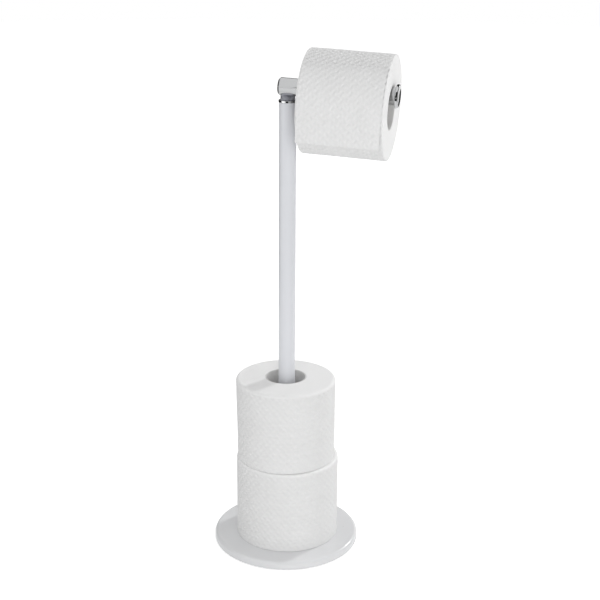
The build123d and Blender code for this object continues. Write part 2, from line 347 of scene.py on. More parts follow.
def mesh_from(name: str, skin: Skin, sharp_degrees: float) -> bpy.types.Mesh:
    """Puts a skin into a mesh in metres, its faces outwards and smooth between its sharp edges.

    Args:
        name: Name of the mesh.
        skin: The closed surface.
        sharp_degrees: Faces that meet at a larger angle than this stay sharp.

    Returns:
        The mesh, with the UV map "surface", and "winding" where the skin has one.
    """
    points = skin.points * METRE_PER_MM
    quads, quad_uv, fans, fan_uv = skin.quads, skin.quad_uv, skin.fans, skin.fan_uv
    quad_winding = skin.quad_winding
    middle = points.mean(axis=0)
    if enclosed(points - middle, quads, fans) < 0.0:
        quads, quad_uv = quads[:, ::-1], quad_uv[:, ::-1]
        fans, fan_uv = fans[:, ::-1], fan_uv[:, ::-1]
        quad_winding = None if quad_winding is None else quad_winding[:, ::-1]
    mesh = bpy.data.meshes.new(name)
    mesh.from_pydata(points.tolist(), [], quads.tolist() + fans.tolist())
    surface = mesh.uv_layers.new(name="surface")
    surface.data.foreach_set("uv", np.concatenate([quad_uv.ravel(), fan_uv.ravel()]).astype(np.float32))
    if quad_winding is not None:
        layers = mesh.uv_layers.new(name="winding")
        rest = np.zeros(fan_uv.size)
        layers.data.foreach_set("uv", np.concatenate([quad_winding.ravel(), rest]).astype(np.float32))
    mesh.shade_smooth()
    mesh.set_sharp_from_angle(angle=math.radians(sharp_degrees))
    mesh.update()
    return mesh


def in_scene(name: str, data: bpy.types.ID) -> bpy.types.Object:
    """Makes an object of the scene, at the origin.

    Args:
        name: Its name.
        data: Its mesh, lamp or camera.

    Returns:
        The object.
    """
    made = bpy.data.objects.new(name, data)
    bpy.context.scene.collection.objects.link(made)
    return made


def turned_skin(profile: np.ndarray, count: int, axis: Axis, centre: Sequence[float], loop: bool) -> Skin:
    """Skin of a turned piece: its profile carried once round the axis.

    Args:
        profile: Points as (along the axis, out from the axis).
        count: Number of points in each ring.
        axis: Direction of the axis.
        centre: A point on the axis, from which the profile's first number is counted.
        loop: Whether the profile is closed; otherwise both of its ends lie on the axis.

    Returns:
        The closed skin.
    """
    angle = np.arange(count) * FULL_TURN / count
    grid = spun(profile[:, :1], profile[:, 1:], angle[None], axis, centre)
    return ring_skin(grid, run_along(profile), loop)


class Wiring:
    """Nodes and links of one material, group or world, laid out from left to right."""

    NODE_PITCH = 220

    def __init__(self, tree: bpy.types.NodeTree) -> None:
        """Keeps the tree that the nodes go into."""
        self.tree = tree

    def feed(self, node: bpy.types.Node, inputs: dict) -> None:
        """Fills some inputs of a node.

        Args:
            node: The node.
            inputs: For each input, by name or number, an output socket to link or a value to set.
        """
        for key, value in inputs.items():
            if isinstance(value, bpy.types.NodeSocket):
                self.tree.links.new(value, node.inputs[key])
            else:
                node.inputs[key].default_value = value

    def node(self, kind: str, inputs: Optional[dict] = None, **settings: object) -> bpy.types.Node:
        """Adds a node.

        Args:
            kind: Blender's name of the node type.
            inputs: For each input, by name or number, an output socket to link or a value to set.
            **settings: Properties of the node itself.

        Returns:
            The new node.
        """
        made = self.tree.nodes.new(kind)
        made.location = (self.NODE_PITCH * len(self.tree.nodes), 0)
        for key, value in settings.items():
            setattr(made, key, value)
        self.feed(made, inputs or {})
        return made

    def shared(self, group: bpy.types.NodeTree, inputs: dict) -> bpy.types.Node:
        """Places a shared group with its own values."""
        return self.node("ShaderNodeGroup", inputs, node_tree=group)

    def math(self, operation: str, *values: object) -> bpy.types.NodeSocket:
        """Output of a Math node with those values or sockets as its inputs."""
        return self.node("ShaderNodeMath", dict(enumerate(values)), operation=operation).outputs[0]

    def ramp(
        self, value: bpy.types.NodeSocket, low: float, high: float, to_low: float, to_high: float
    ) -> bpy.types.NodeSocket:
        """Output of a Map Range node that carries low..high to to_low..to_high and holds its ends."""
        inputs = {"Value": value, "From Min": low, "From Max": high, "To Min": to_low, "To Max": to_high}
        return self.node("ShaderNodeMapRange", inputs, clamp=True).outputs["Result"]

    def noise(self, place: object, scale: object, detail: float, roughness: float) -> bpy.types.NodeSocket:
        """Value output of a Noise Texture read at a place, its scale a number or a socket."""
        inputs = {"Vector": place, "Scale": scale, "Detail": detail, "Roughness": roughness}
        return self.node("ShaderNodeTexNoise", inputs).outputs["Fac"]

    def blend(self, share: object, first: object, second: object) -> bpy.types.NodeSocket:
        """Colour output of a Mix node: first where share is 0 and second where it is 1."""
        inputs = {0: share, 6: first, 7: second}
        return self.node("ShaderNodeMix", inputs, data_type="RGBA", blend_type="MIX").outputs[2]

    def relief(self, shader: bpy.types.Node, height: object, depth: float, strength: float) -> None:
        """Feeds a height to a shader's normal through a Bump node of that depth in metres."""
        bump = self.node("ShaderNodeBump", {"Height": height, "Distance": depth, "Strength": strength})
        self.feed(shader, {"Normal": bump.outputs["Normal"]})


def opaque(colour: Colour) -> tuple[float, float, float, float]:
    """A colour with its full cover as the fourth number."""
    return (*colour, 1.0)


def empty_material(name: str) -> tuple[bpy.types.Material, Wiring]:
    """Starts a material.

    Args:
        name: Its name.

    Returns:
        The new material without any node, and its wiring.
    """
    material = bpy.data.materials.new(name)
    material.use_nodes = True
    material.node_tree.nodes.clear()
    return material, Wiring(material.node_tree)


def make_group(
    name: str, inputs: Sequence[tuple[str, Socket, object]], outputs: Sequence[str]
) -> tuple[Wiring, object, bpy.types.Node]:
    """Starts a shared shader node group.

    Args:
        name: Name of the group.
        inputs: Name, kind and starting value of each input.
        outputs: Name of each output; "Color" is a colour and the others are numbers.

    Returns:
        The group's wiring, what its inputs put out by name, and its output node.
    """
    tree = bpy.data.node_groups.new(name, "ShaderNodeTree")
    for label, kind, value in inputs:
        socket = tree.interface.new_socket(label, in_out="INPUT", socket_type=kind.value)
        if value is not None:
            socket.default_value = value
    for label in outputs:
        kind = Socket.COLOUR if label == "Color" else Socket.NUMBER
        tree.interface.new_socket(label, in_out="OUTPUT", socket_type=kind.value)
    wiring = Wiring(tree)
    return wiring, wiring.node("NodeGroupInput").outputs, wiring.node("NodeGroupOutput")


class Effects:
    """The surface effects that several finishes share, each built once as a node group."""

    CLOUD_EDGES = (0.3, 0.7)
    FINE_RATE = 4.0
    SLOW_RATE = 0.05
    STRAND_STRETCHES = ((1.0, 0.3, 0.45), (0.3, 1.0, 0.6))
    STRAND_TURN = (0.6, 0.4, 0.8)
    FLECK_RATE = 0.7
    FLECK_EDGES = (0.62, 0.8)
    RIDGES_PER_LAYER = (1.0, 3.0)
    LEAST_RIDGE = 0.1
    FINE_RIDGE_SHARE = 0.5

    def __init__(self) -> None:
        """Builds every group."""
        self.tone = self.build_tone()
        self.grain = self.build_grain()
        self.fibre = self.build_fibre()
        self.layers = self.build_layers()

    def build_tone(self) -> bpy.types.NodeTree:
        """Cloudy change between two colours: slow noise read from the object's own coordinates.

        Returns:
            The group.
        """
        wiring, given, result = make_group(
            "cloudy_tone",
            [
                ("Place", Socket.PLACE, None),
                ("Light Colour", Socket.COLOUR, WHITE),
                ("Dark Colour", Socket.COLOUR, WHITE),
                ("Scale", Socket.NUMBER, 30.0),
            ],
            ["Color"],
        )
        cloud = wiring.noise(given["Place"], given["Scale"], detail=3.0, roughness=0.55)
        mask = wiring.ramp(cloud, *self.CLOUD_EDGES, 0.0, 1.0)
        wiring.feed(result, {"Color": wiring.blend(mask, given["Light Colour"], given["Dark Colour"])})
        return wiring.tree

    def build_grain(self) -> bpy.types.NodeTree:
        """Fine relief: a coarse noise with a finer one added in the given share.

        The roughness goes between its two given values with a far slower noise.

        Returns:
            The group.
        """
        wiring, given, result = make_group(
            "fine_grain",
            [
                ("Place", Socket.PLACE, None),
                ("Scale", Socket.NUMBER, 800.0),
                ("Fine Share", Socket.NUMBER, 0.35),
                ("Low Roughness", Socket.NUMBER, 0.35),
                ("High Roughness", Socket.NUMBER, 0.45),
            ],
            ["Height", "Roughness"],
        )
        place, scale = given["Place"], given["Scale"]
        coarse = wiring.noise(place, scale, detail=1.0, roughness=0.5)
        fine_scale = wiring.math("MULTIPLY", scale, self.FINE_RATE)
        fine = wiring.noise(place, fine_scale, detail=2.0, roughness=0.6)
        slow_scale = wiring.math("MULTIPLY", scale, self.SLOW_RATE)
        slow = wiring.noise(place, slow_scale, detail=2.0, roughness=0.5)
        low, high = given["Low Roughness"], given["High Roughness"]
        rough = wiring.math("MULTIPLY_ADD", slow, wiring.math("SUBTRACT", high, low), low)
        height = wiring.math("MULTIPLY_ADD", fine, given["Fine Share"], coarse)
        wiring.feed(result, {"Height": height, "Roughness": rough})
        return wiring.tree

    def build_fibre(self) -> bpy.types.NodeTree:
        """Paper fibre: noise stretched two ways and laid over itself, with a few darker flecks.

        Returns:
            The group.
        """
        wiring, given, result = make_group(
            "paper_fibre",
            [("Place", Socket.PLACE, None), ("Scale", Socket.NUMBER, 900.0)],
            ["Height", "Flecks"],
        )
        place, scale = given["Place"], given["Scale"]
        strands = []
        for stretch in self.STRAND_STRETCHES:
            inputs = {"Vector": place, "Rotation": self.STRAND_TURN, "Scale": stretch}
            turned = wiring.node("ShaderNodeMapping", inputs).outputs[0]
            strands.append(wiring.noise(turned, scale, detail=3.0, roughness=0.65))
        fleck_scale = wiring.math("MULTIPLY", scale, self.FLECK_RATE)
        dots = wiring.noise(place, fleck_scale, detail=2.0, roughness=0.6)
        flecks = wiring.ramp(dots, *self.FLECK_EDGES, 0.0, 1.0)
        wiring.feed(result, {"Height": wiring.math("ADD", *strands), "Flecks": flecks})
        return wiring.tree

    def build_layers(self) -> bpy.types.NodeTree:
        """Edges of wound layers: ridges at each whole count of layers, uneven in depth, on end faces.

        The height is mask * (noise + least ridge) * (sin(2 pi n) + share * sin(6 pi n)), with n the
        count of layers from the core.

        Returns:
            The group.
        """
        wiring, given, result = make_group(
            "wound_layers",
            [
                ("Winding", Socket.PLACE, None),
                ("Place", Socket.PLACE, None),
                ("Unevenness", Socket.NUMBER, 120.0),
            ],
            ["Height", "End Mask"],
        )
        parts = wiring.node("ShaderNodeSeparateXYZ", {"Vector": given["Winding"]})
        count, mask = parts.outputs["X"], parts.outputs["Y"]
        uneven = wiring.noise(given["Place"], given["Unevenness"], detail=3.0, roughness=0.6)
        depth = wiring.math("ADD", uneven, self.LEAST_RIDGE)
        ridges = []
        for rate in self.RIDGES_PER_LAYER:
            swing = wiring.math("SINE", wiring.math("MULTIPLY", count, FULL_TURN * rate))
            ridges.append(wiring.math("MULTIPLY", swing, depth))
        both = wiring.math("MULTIPLY_ADD", ridges[1], self.FINE_RIDGE_SHARE, ridges[0])
        wiring.feed(result, {"Height": wiring.math("MULTIPLY", both, mask), "End Mask": mask})
        return wiring.tree


@dataclass(frozen=True)
class Draft:
    """A material in the making: its wiring, its shader, the object's coordinates and its cloudy tone."""

    wiring: Wiring
    shader: bpy.types.Node
    place: bpy.types.NodeSocket
    tone: bpy.types.NodeSocket


@dataclass(frozen=True)
class Finish:
    """What every finish has: its names and its two base colours, given as linear red, green, blue."""

    name: str
    slot: str
    light: Colour
    dark: Colour
    tone_scale: float = 30.0

    def build(self, effects: Effects) -> bpy.types.Material:
        """Makes the material: its shader, its cloudy base colour and what this kind of finish adds.

        Args:
            effects: The shared groups.

        Returns:
            The finished material.
        """
        material, wiring = empty_material(self.name)
        place = wiring.node("ShaderNodeTexCoord").outputs["Object"]
        shader = wiring.node("ShaderNodeBsdfPrincipled")
        wiring.node("ShaderNodeOutputMaterial", {"Surface": shader.outputs["BSDF"]})
        colours = {"Light Colour": opaque(self.light), "Dark Colour": opaque(self.dark)}
        tone = wiring.shared(effects.tone, {"Place": place, "Scale": self.tone_scale, **colours})
        wiring.feed(shader, {"Base Color": tone.outputs["Color"]})
        self.add_detail(effects, Draft(wiring, shader, place, tone.outputs["Color"]))
        return material

    def add_detail(self, effects: Effects, draft: Draft) -> None:
        """Adds what one kind of finish has beside its colour: nothing on a plain one."""


@dataclass(frozen=True)
class GrainedFinish(Finish):
    """A solid finish with a fine relief: powder coat, plating, steel, casting, plastic, rubber or foam."""

    metallic: float = 0.0
    low_roughness: float = 0.3
    high_roughness: float = 0.4
    grain_scale: float = 800.0
    grain_depth: float = 0.00002
    grain_strength: float = 0.3
    coat: float = 0.0
    coat_roughness: float = 0.1
    specular: float = 0.5

    def add_detail(self, effects: Effects, draft: Draft) -> None:
        """Adds the fine relief, the gloss and its unevenness.

        Args:
            effects: The shared groups.
            draft: The material in the making.
        """
        values = {"Place": draft.place, "Scale": self.grain_scale}
        values |= {"Low Roughness": self.low_roughness, "High Roughness": self.high_roughness}
        grain = draft.wiring.shared(effects.grain, values)
        gloss = {"Metallic": self.metallic, "Specular IOR Level": self.specular}
        gloss |= {"Coat Weight": self.coat, "Coat Roughness": self.coat_roughness}
        draft.wiring.feed(draft.shader, {"Roughness": grain.outputs["Roughness"], **gloss})
        height = grain.outputs["Height"]
        draft.wiring.relief(draft.shader, height, self.grain_depth, self.grain_strength)


@dataclass(frozen=True)
class TissueFinish(Finish):
    """Soft white tissue: fibre on every face, and the edges of the wound layers on a roll's ends. The end
    faces are painted lighter than the sides: painted light on the ends.
    """

    roughness: float = 0.95
    specular: float = 0.2
    sheen: float = 0.12
    sheen_roughness: float = 0.6
    fibre_scale: float = 1100.0
    fibre_depth: float = 0.00012
    fibre_strength: float = 0.6
    layer_depth: float = 0.00014
    # painted light: the end faces get a lighter colour than the sides, standing in for the light that falls
    # on them
    painted_light_end_colour: Colour = (0.92, 0.92, 0.917)
    fleck_colour: Colour = (0.72, 0.72, 0.715)
    fleck_share: float = 0.35

    def add_detail(self, effects: Effects, draft: Draft) -> None:
        """Adds the soft surface, the fibre with its flecks, the layers' edges, and the painted light that
        makes the end faces lighter.

        Args:
            effects: The shared groups.
            draft: The material in the making.
        """
        wiring = draft.wiring
        fibre = wiring.shared(effects.fibre, {"Place": draft.place, "Scale": self.fibre_scale})
        winding = wiring.node("ShaderNodeUVMap", uv_map="winding").outputs["UV"]
        layers = wiring.shared(effects.layers, {"Winding": winding, "Place": draft.place})
        share = wiring.math("MULTIPLY", fibre.outputs["Flecks"], self.fleck_share)
        # painted light: the end faces are blended to the lighter colour
        faces = wiring.blend(layers.outputs["End Mask"], draft.tone, opaque(self.painted_light_end_colour))
        soft = {"Roughness": self.roughness, "Specular IOR Level": self.specular}
        soft |= {"Sheen Weight": self.sheen, "Sheen Roughness": self.sheen_roughness}
        colour = wiring.blend(share, faces, opaque(self.fleck_colour))
        wiring.feed(draft.shader, {"Base Color": colour, **soft})
        ratio = self.layer_depth / self.fibre_depth
        height = wiring.math("MULTIPLY_ADD", layers.outputs["Height"], ratio, fibre.outputs["Height"])
        wiring.relief(draft.shader, height, self.fibre_depth, self.fibre_strength)


@dataclass(frozen=True)
class BoardFinish(Finish):
    """Grey cardboard: fibre, and the helical seam of the strip that the core is wound from."""

    roughness: float = 0.85
    specular: float = 0.25
    seam_pitch: float = 0.075
    seam_width: float = 0.012
    seam_sink: float = 1.5
    seam_darkening: float = 0.8
    seam_share: float = 0.6
    fibre_scale: float = 700.0
    fibre_depth: float = 0.0002
    fibre_strength: float = 0.5

    def add_detail(self, effects: Effects, draft: Draft) -> None:
        """Adds the fibre and the seam, which lies where the share of a turn plus V / pitch is whole.

        Args:
            effects: The shared groups.
            draft: The material in the making.
        """
        wiring = draft.wiring
        fibre = wiring.shared(effects.fibre, {"Place": draft.place, "Scale": self.fibre_scale})
        surface = wiring.node("ShaderNodeUVMap", uv_map="surface").outputs["UV"]
        u, v = wiring.node("ShaderNodeSeparateXYZ", {"Vector": surface}).outputs[:2]
        away = wiring.math("PINGPONG", wiring.math("MULTIPLY_ADD", v, 1.0 / self.seam_pitch, u), 0.5)
        seam = wiring.ramp(away, 0.0, self.seam_width, 1.0, 0.0)
        height = wiring.math("MULTIPLY_ADD", seam, -self.seam_sink, fibre.outputs["Height"])
        flecks = wiring.blend(fibre.outputs["Flecks"], draft.tone, opaque(self.dark))
        shade = tuple(self.seam_darkening * c for c in self.dark)
        colour = wiring.blend(wiring.math("MULTIPLY", seam, self.seam_share), flecks, opaque(shade))
        plain = {"Roughness": self.roughness, "Specular IOR Level": self.specular}
        wiring.feed(draft.shader, {"Base Color": colour, **plain})
        wiring.relief(draft.shader, height, self.fibre_depth, self.fibre_strength)


class Surface(Enum):
    """Every finish of the holder."""

    # One white powder coat in two copies: the pole's copy is darker and bluer, which is painted shade, tuned
    # to how bright the pole looks
    POLE_COAT_PAINTED_SHADE = GrainedFinish(
        "pole_powder_coat_painted_shade", "white_powder_coat", (0.742, 0.754, 0.786), (0.727, 0.739, 0.77), 25.0,
        low_roughness=0.3, high_roughness=0.36, specular=0.4,
        grain_scale=1400.0, grain_depth=0.00003, grain_strength=0.25,
    )
    # the base's copy of the same coat is lighter, which is painted light, tuned to how bright the base looks
    BASE_COAT_PAINTED_LIGHT = GrainedFinish(
        "base_powder_coat_painted_light", "white_powder_coat", (0.775, 0.78, 0.79), (0.76, 0.765, 0.775), 25.0,
        low_roughness=0.26, high_roughness=0.32, specular=0.45, coat=0.3, coat_roughness=0.12,
        grain_scale=1400.0, grain_depth=0.00003, grain_strength=0.25,
    )
    PLATING = GrainedFinish(
        "bright_plating_finish", "bright_plating", (0.55, 0.556, 0.56), (0.54, 0.546, 0.552), 40.0,
        metallic=1.0, low_roughness=0.04, high_roughness=0.075,
        grain_scale=300.0, grain_depth=0.000004, grain_strength=0.15,
    )
    # The neck's plating: rougher than the bright plating, and tinted blue as painted reflection of the bluish
    # dark surroundings that the neck mirrors
    SATIN_PAINTED_REFLECTION = GrainedFinish(
        "satin_plating_painted_reflection", "bright_plating", (0.56, 0.565, 0.615), (0.5, 0.505, 0.555), 120.0,
        metallic=1.0, low_roughness=0.3, high_roughness=0.4,
        grain_scale=900.0, grain_depth=0.00001, grain_strength=0.3,
    )
    ZINC = GrainedFinish(
        "zinc_steel_finish", "zinc_steel", (0.58, 0.59, 0.6), (0.48, 0.49, 0.5), 180.0,
        metallic=1.0, low_roughness=0.28, high_roughness=0.42, grain_scale=1600.0, grain_depth=0.00003,
    )
    CASTING = GrainedFinish(
        "cast_weight_finish", "cast_weight", (0.2, 0.2, 0.21), (0.13, 0.13, 0.135), 90.0,
        metallic=0.6, low_roughness=0.6, high_roughness=0.75,
        grain_scale=900.0, grain_depth=0.00015, grain_strength=0.6,
    )
    PAD = GrainedFinish(
        "soft_pad_finish", "soft_pad", (0.78, 0.78, 0.77), (0.7, 0.7, 0.69), 60.0,
        low_roughness=0.85, high_roughness=0.95, specular=0.2,
        grain_scale=1800.0, grain_depth=0.0001, grain_strength=0.6,
    )
    BUSH = GrainedFinish(
        "bush_plastic_finish", "bush_plastic", (0.86, 0.86, 0.84), (0.82, 0.82, 0.8),
        low_roughness=0.4, high_roughness=0.5, grain_scale=1500.0,
    )
    RUBBER = GrainedFinish(
        "ring_rubber_finish", "ring_rubber", (0.05, 0.05, 0.05), (0.035, 0.035, 0.035),
        low_roughness=0.5, high_roughness=0.65, specular=0.4, grain_scale=2000.0,
    )
    TISSUE = TissueFinish(
        "tissue_paper_finish", "tissue_paper", (0.8, 0.8, 0.8), (0.78, 0.78, 0.778), 45.0
    )
    BOARD = BoardFinish(
        "core_board_finish", "core_board", (0.77, 0.765, 0.755), (0.69, 0.685, 0.675), 120.0
    )


class Bench:
    """Where pieces are finished: it holds the materials, and the part's own solids by name."""

    def __init__(self, nodes: dict) -> None:
        """Builds every material.

        Args:
            nodes: The part's own solids by name.
        """
        effects = Effects()
        self.nodes = nodes
        self.materials = {surface: surface.value.build(effects) for surface in Surface}

    def place(
        self,
        name: str,
        skin: Skin,
        surface: Surface,
        body: Body,
        stands_for: str,
        sharp_degrees: float = 28.0,
    ) -> bpy.types.Object:
        """Makes a finished piece and fixes it to the body that it moves with.

        Args:
            name: Name of the piece.
            skin: Its closed surface, already where the piece stands.
            surface: Its finish.
            body: The body that it moves with.
            stands_for: The solid that it is shown in place of.
            sharp_degrees: Faces that meet at a larger angle than this stay sharp.

        Returns:
            The new object.
        """
        piece = in_scene(name, mesh_from(name, skin, sharp_degrees))
        piece.data.materials.append(self.materials[surface])
        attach(piece, body.value)
        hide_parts(stands_for)
        triangles = 2 * len(skin.quads) + len(skin.fans)
        LOG.info("%s rides on %s, %d triangles", name, body.value, triangles)
        return piece

    def dress(self, surface: Surface, *names: str) -> None:
        """Gives some of the part's own solids their finish, where they stand.

        Args:
            surface: Their finish.
            *names: The solids.
        """
        material = self.materials[surface]
        for name in names:
            solid = self.nodes[name]
            if not solid.material_slots:
                solid.data.materials.append(material)
            for slot in solid.material_slots:
                slot.material = material
            LOG.info("%s is dressed with %s", name, material.name)


@dataclass(frozen=True)
class Emboss:
    """The tissue's pressed pattern: short dashes that lean to alternate sides, in a herringbone.

    It is depth deep all round. Round deep_angle it is deeper by the share deepening, which fades out with
    deep_spread, both in radians.
    """

    cell_across: float = 8.7
    dash_length: float = 5.0
    dash_width: float = 2.6
    lean_degrees: float = 57.0
    depth: float = 0.5
    deepening: float = 0.0
    deep_angle: float = 2.15
    deep_spread: float = 0.55

    def deep_share(self, angle: np.ndarray) -> np.ndarray:
        """How much deeper it is round one angle: 1 + deepening * exp(-((a - deep_angle) / spread)^2)."""
        away = (angle - self.deep_angle + math.pi) % FULL_TURN - math.pi
        return 1.0 + self.deepening * np.exp(-((away / self.deep_spread) ** 2))

    def height(self, across: np.ndarray, around: np.ndarray, cell_around: float) -> np.ndarray:
        """Height of the pressed surface, at most 0, in millimetres.

        One dash stands at the middle of each cell and one at its corner, leaning to the other side. With
        p along the dash and q across it, a dash's depth is exp(-(2p / length)^4 - (2q / width)^2).

        Args:
            across: Place across the paper, along the roll's axis.
            around: Place along the paper, round the roll.
            cell_around: Length of a cell round the roll, so that whole cells fit.

        Returns:
            The height, in the shape that across and around broadcast to.
        """
        pressed = np.zeros(np.broadcast_shapes(np.shape(across), np.shape(around)))
        for shift, side in ((0.0, 1.0), (0.5, -1.0)):
            a = (across / self.cell_across + shift + 0.5) % 1.0 - 0.5
            s = (around / cell_around + shift + 0.5) % 1.0 - 0.5
            lean = math.radians(self.lean_degrees) * side
            for da, ds in NEIGHBOURS:
                x, y = (a + da) * self.cell_across, (s + ds) * cell_around
                p = x * math.cos(lean) + y * math.sin(lean)
                q = y * math.cos(lean) - x * math.sin(lean)
                dash = np.exp(-((2 * p / self.dash_length) ** 4) - (2 * q / self.dash_width) ** 2)
                pressed = np.maximum(pressed, dash)
        return -self.depth * pressed


def eased(share: np.ndarray) -> np.ndarray:
    """Share held between 0 and 1 and eased in and out: s^2 * (3 - 2 s)."""
    held = np.clip(share, 0.0, 1.0)
    return held * held * (3.0 - 2.0 * held)


def soft_waves(first: np.ndarray, second: np.ndarray, spans: tuple[float, float], seed: int) -> np.ndarray:
    """Slow unevenness from -1 to 1 that meets itself in the second direction.

    It is twice the mean of WAVES waves cos(2 pi * (m * first / span1 + k * second / span2) + phase), with
    seeded m up to 2, whole k from 1 to 5, and phases.

    Args:
        first: Place in the first direction.
        second: Place in the second direction.
        spans: Lengths in both directions.
        seed: Seed of the waves.

    Returns:
        The unevenness, in the broadcast shape.
    """
    pick = np.random.default_rng(seed)
    total = np.zeros(np.broadcast_shapes(np.shape(first), np.shape(second)))
    lengthways, round_it = pick.uniform(0, 2, WAVES), pick.integers(1, 6, WAVES)
    for m, k, phase in zip(lengthways, round_it, pick.uniform(0, FULL_TURN, WAVES)):
        total = total + np.cos(FULL_TURN * (m * first / spans[0] + k * second / spans[1]) + phase)
    return np.clip(2.0 * total / WAVES, -1.0, 1.0)


@dataclass(frozen=True)
class WoundRoll:
    """A roll of tissue on its cardboard core.

    foot is the middle of its first end, and first_edge and far_edge are the radii of its soft edges. The
    outer layers grow by the two values of growth at its first and far end, and lean pushes them aside at
    the first. far_rise lifts the far face at the core. The outside wanders by swell, the last sheet's end
    makes a step of edge_step at edge_angle, and a crease goes round at crease_height.
    """

    body: Body
    axis: Axis
    foot: Point
    diameter: float
    width: float
    first_edge: float
    far_edge: float
    cells_around: int
    seed: int
    emboss: Emboss
    points_per_cell: int = 12
    fall: Fall = Fall()
    core_bore: float = 45.4
    core_wall: float = 1.2
    core_recess: float = 0.25
    core_softness: float = 0.15
    core_points: int = 160
    bore_chamfer: float = 0.5
    face_steps: int = 9
    rim_steps: int = 8
    wall_step: float = 0.7
    least_fade: float = 1.0
    layer: float = 0.9
    swell: float = 0.35
    edge_step: float = 0.0
    edge_angle: float = 0.0
    crease_height: float = 0.0
    crease_depth: float = 0.0
    crease_width: float = 1.1
    crease_wander: float = 0.6
    crease_fade: float = 0.4
    crease_phases: tuple[float, float] = (0.7, 1.2)
    relief_inset: float = 0.3
    relief_fade: float = 2.2
    growth: tuple[float, float] = (0.0, 0.0)
    lean: tuple[float, float] = (0.0, 0.0)
    far_rise: float = 0.0
    rise_power: float = 1.5
    end_ripples: float = 3.5
    end_sag: float = 0.12

    @property
    def radius(self) -> float:
        """Outer radius of the paper."""
        return self.diameter / 2

    @property
    def core_radius(self) -> float:
        """Outer radius of the core, where the paper starts."""
        return self.core_bore / 2 + self.core_wall

    @property
    def cell_around(self) -> float:
        """Length of one cell of the pressed pattern round the roll."""
        return FULL_TURN * self.radius / self.cells_around

    def paper_profile(self) -> tuple[np.ndarray, np.ndarray]:
        """Closed profile of the wound paper, and what each of its points is.

        From the bore out over the first end, round its soft edge, along the outside, round the other edge
        and back to the bore.

        Returns:
            The points, and for each of them 1 on an end face, falling to 0 round the edge.
        """
        r, c, w, b = self.radius, self.core_radius, self.width, self.bore_chamfer
        e, f = self.first_edge, self.far_edge
        profile = joined(
            np.array([(b, c)]),
            straight((0.0, c + b), (0.0, r - e), self.face_steps),
            arc((e, r - e), e, 180, 90, self.rim_steps),
            straight((e, r), (w - f, r), round((w - e - f) / self.wall_step)),
            arc((w - f, r - f), f, 90, 0, self.rim_steps),
            straight((w, r - f), (w, c + b), self.face_steps),
            np.array([(w - b, c)]),
        )
        along = profile[:, 0]
        first_fade, far_fade = max(e, self.least_fade), max(f, self.least_fade)
        inset = np.where(along < w / 2, along / first_fade, (w - along) / far_fade)
        return profile, np.clip(1.0 - inset, 0.0, 1.0)

    def outside(self, along: np.ndarray, angle: np.ndarray) -> np.ndarray:
        """Height of the outer layer over the plain cylinder, in millimetres, never above it.

        The pressed pattern and the slow unevenness are added, with the step where the last sheet ends
        and the crease that the wrapping left, and everything fades out over the soft edges.

        Args:
            along: Place along the roll's axis.
            angle: Angle round it in radians.

        Returns:
            The height in the broadcast shape.
        """
        height = self.emboss.height(along, angle * self.radius, self.cell_around)
        height = height * self.emboss.deep_share(angle)
        waves = soft_waves(along, angle, (self.width, FULL_TURN), self.seed)
        height = height + 0.5 * self.swell * (waves - 1.0)
        if self.edge_step:
            past = (angle - self.edge_angle) % FULL_TURN
            height = height - self.edge_step * np.clip(past / FULL_TURN, 0.0, 1.0)
        if self.crease_depth:
            wander = self.crease_wander * np.cos(2 * angle + self.crease_phases[0])
            near = (along - self.crease_height - wander) / self.crease_width
            fade = 1.0 - self.crease_fade + self.crease_fade * np.cos(angle + self.crease_phases[1])
            height = height - self.crease_depth * np.exp(-(near**2)) * fade
        inset = np.minimum(along, self.width - along)
        return height * eased((inset - self.relief_inset) / self.relief_fade)

    def paper_skin(self) -> Skin:
        """Closed skin of the wound paper: its profile round the axis, moved in by the outside's relief.

        A loosely wound roll isn't quite round and straight: its outer layers grow by a share of growth that
        goes evenly from its first to its far end, and lean to one side towards the first end. Both rise
        with the square of the distance from the core. The far end's face stands up by far_rise at the core,
        or sinks by it where it is below 0, fading out towards the rim, and both faces ripple a little.

        Returns:
            The closed skin.
        """
        profile, end = self.paper_profile()
        count = self.cells_around * self.points_per_cell
        angle = np.arange(count)[None] * FULL_TURN / count
        along, out = profile[:, :1], profile[:, 1:]
        first_half = along < self.width / 2
        edge = np.where(first_half, self.first_edge, self.far_edge)
        beyond = np.clip((out - (self.radius - edge)) / edge, 0.0, 1.0)
        relief = self.outside(along, angle) * beyond
        growth = self.growth[0] + (self.growth[1] - self.growth[0]) * along / self.width
        ring = (out - self.core_radius) / (self.radius - self.core_radius)
        held = np.clip(ring, 0.0, 1.0)
        uneven = soft_waves(ring * self.end_ripples, angle, (1.0, FULL_TURN), self.seed + 1)
        sag = self.end_sag * (uneven - 1.0) * np.sin(math.pi * held)
        side = np.where(first_half, 1.0, -1.0)
        rise = np.where(first_half, 0.0, self.far_rise) * (1.0 - held) ** self.rise_power
        grown = out + relief + growth * ring**2
        grid = spun(along - side * sag * end[:, None] + rise, grown, angle, self.axis, self.foot)
        shift = (1.0 - along / self.width) * ring**2
        grid[..., 0] += self.lean[0] * shift
        grid[..., 1] += self.lean[1] * shift
        winding = np.stack([(profile[:, 1] - self.core_radius) / self.layer, end], axis=1)
        return self.fall.carry_skin(ring_skin(grid, run_along(profile), True, winding))

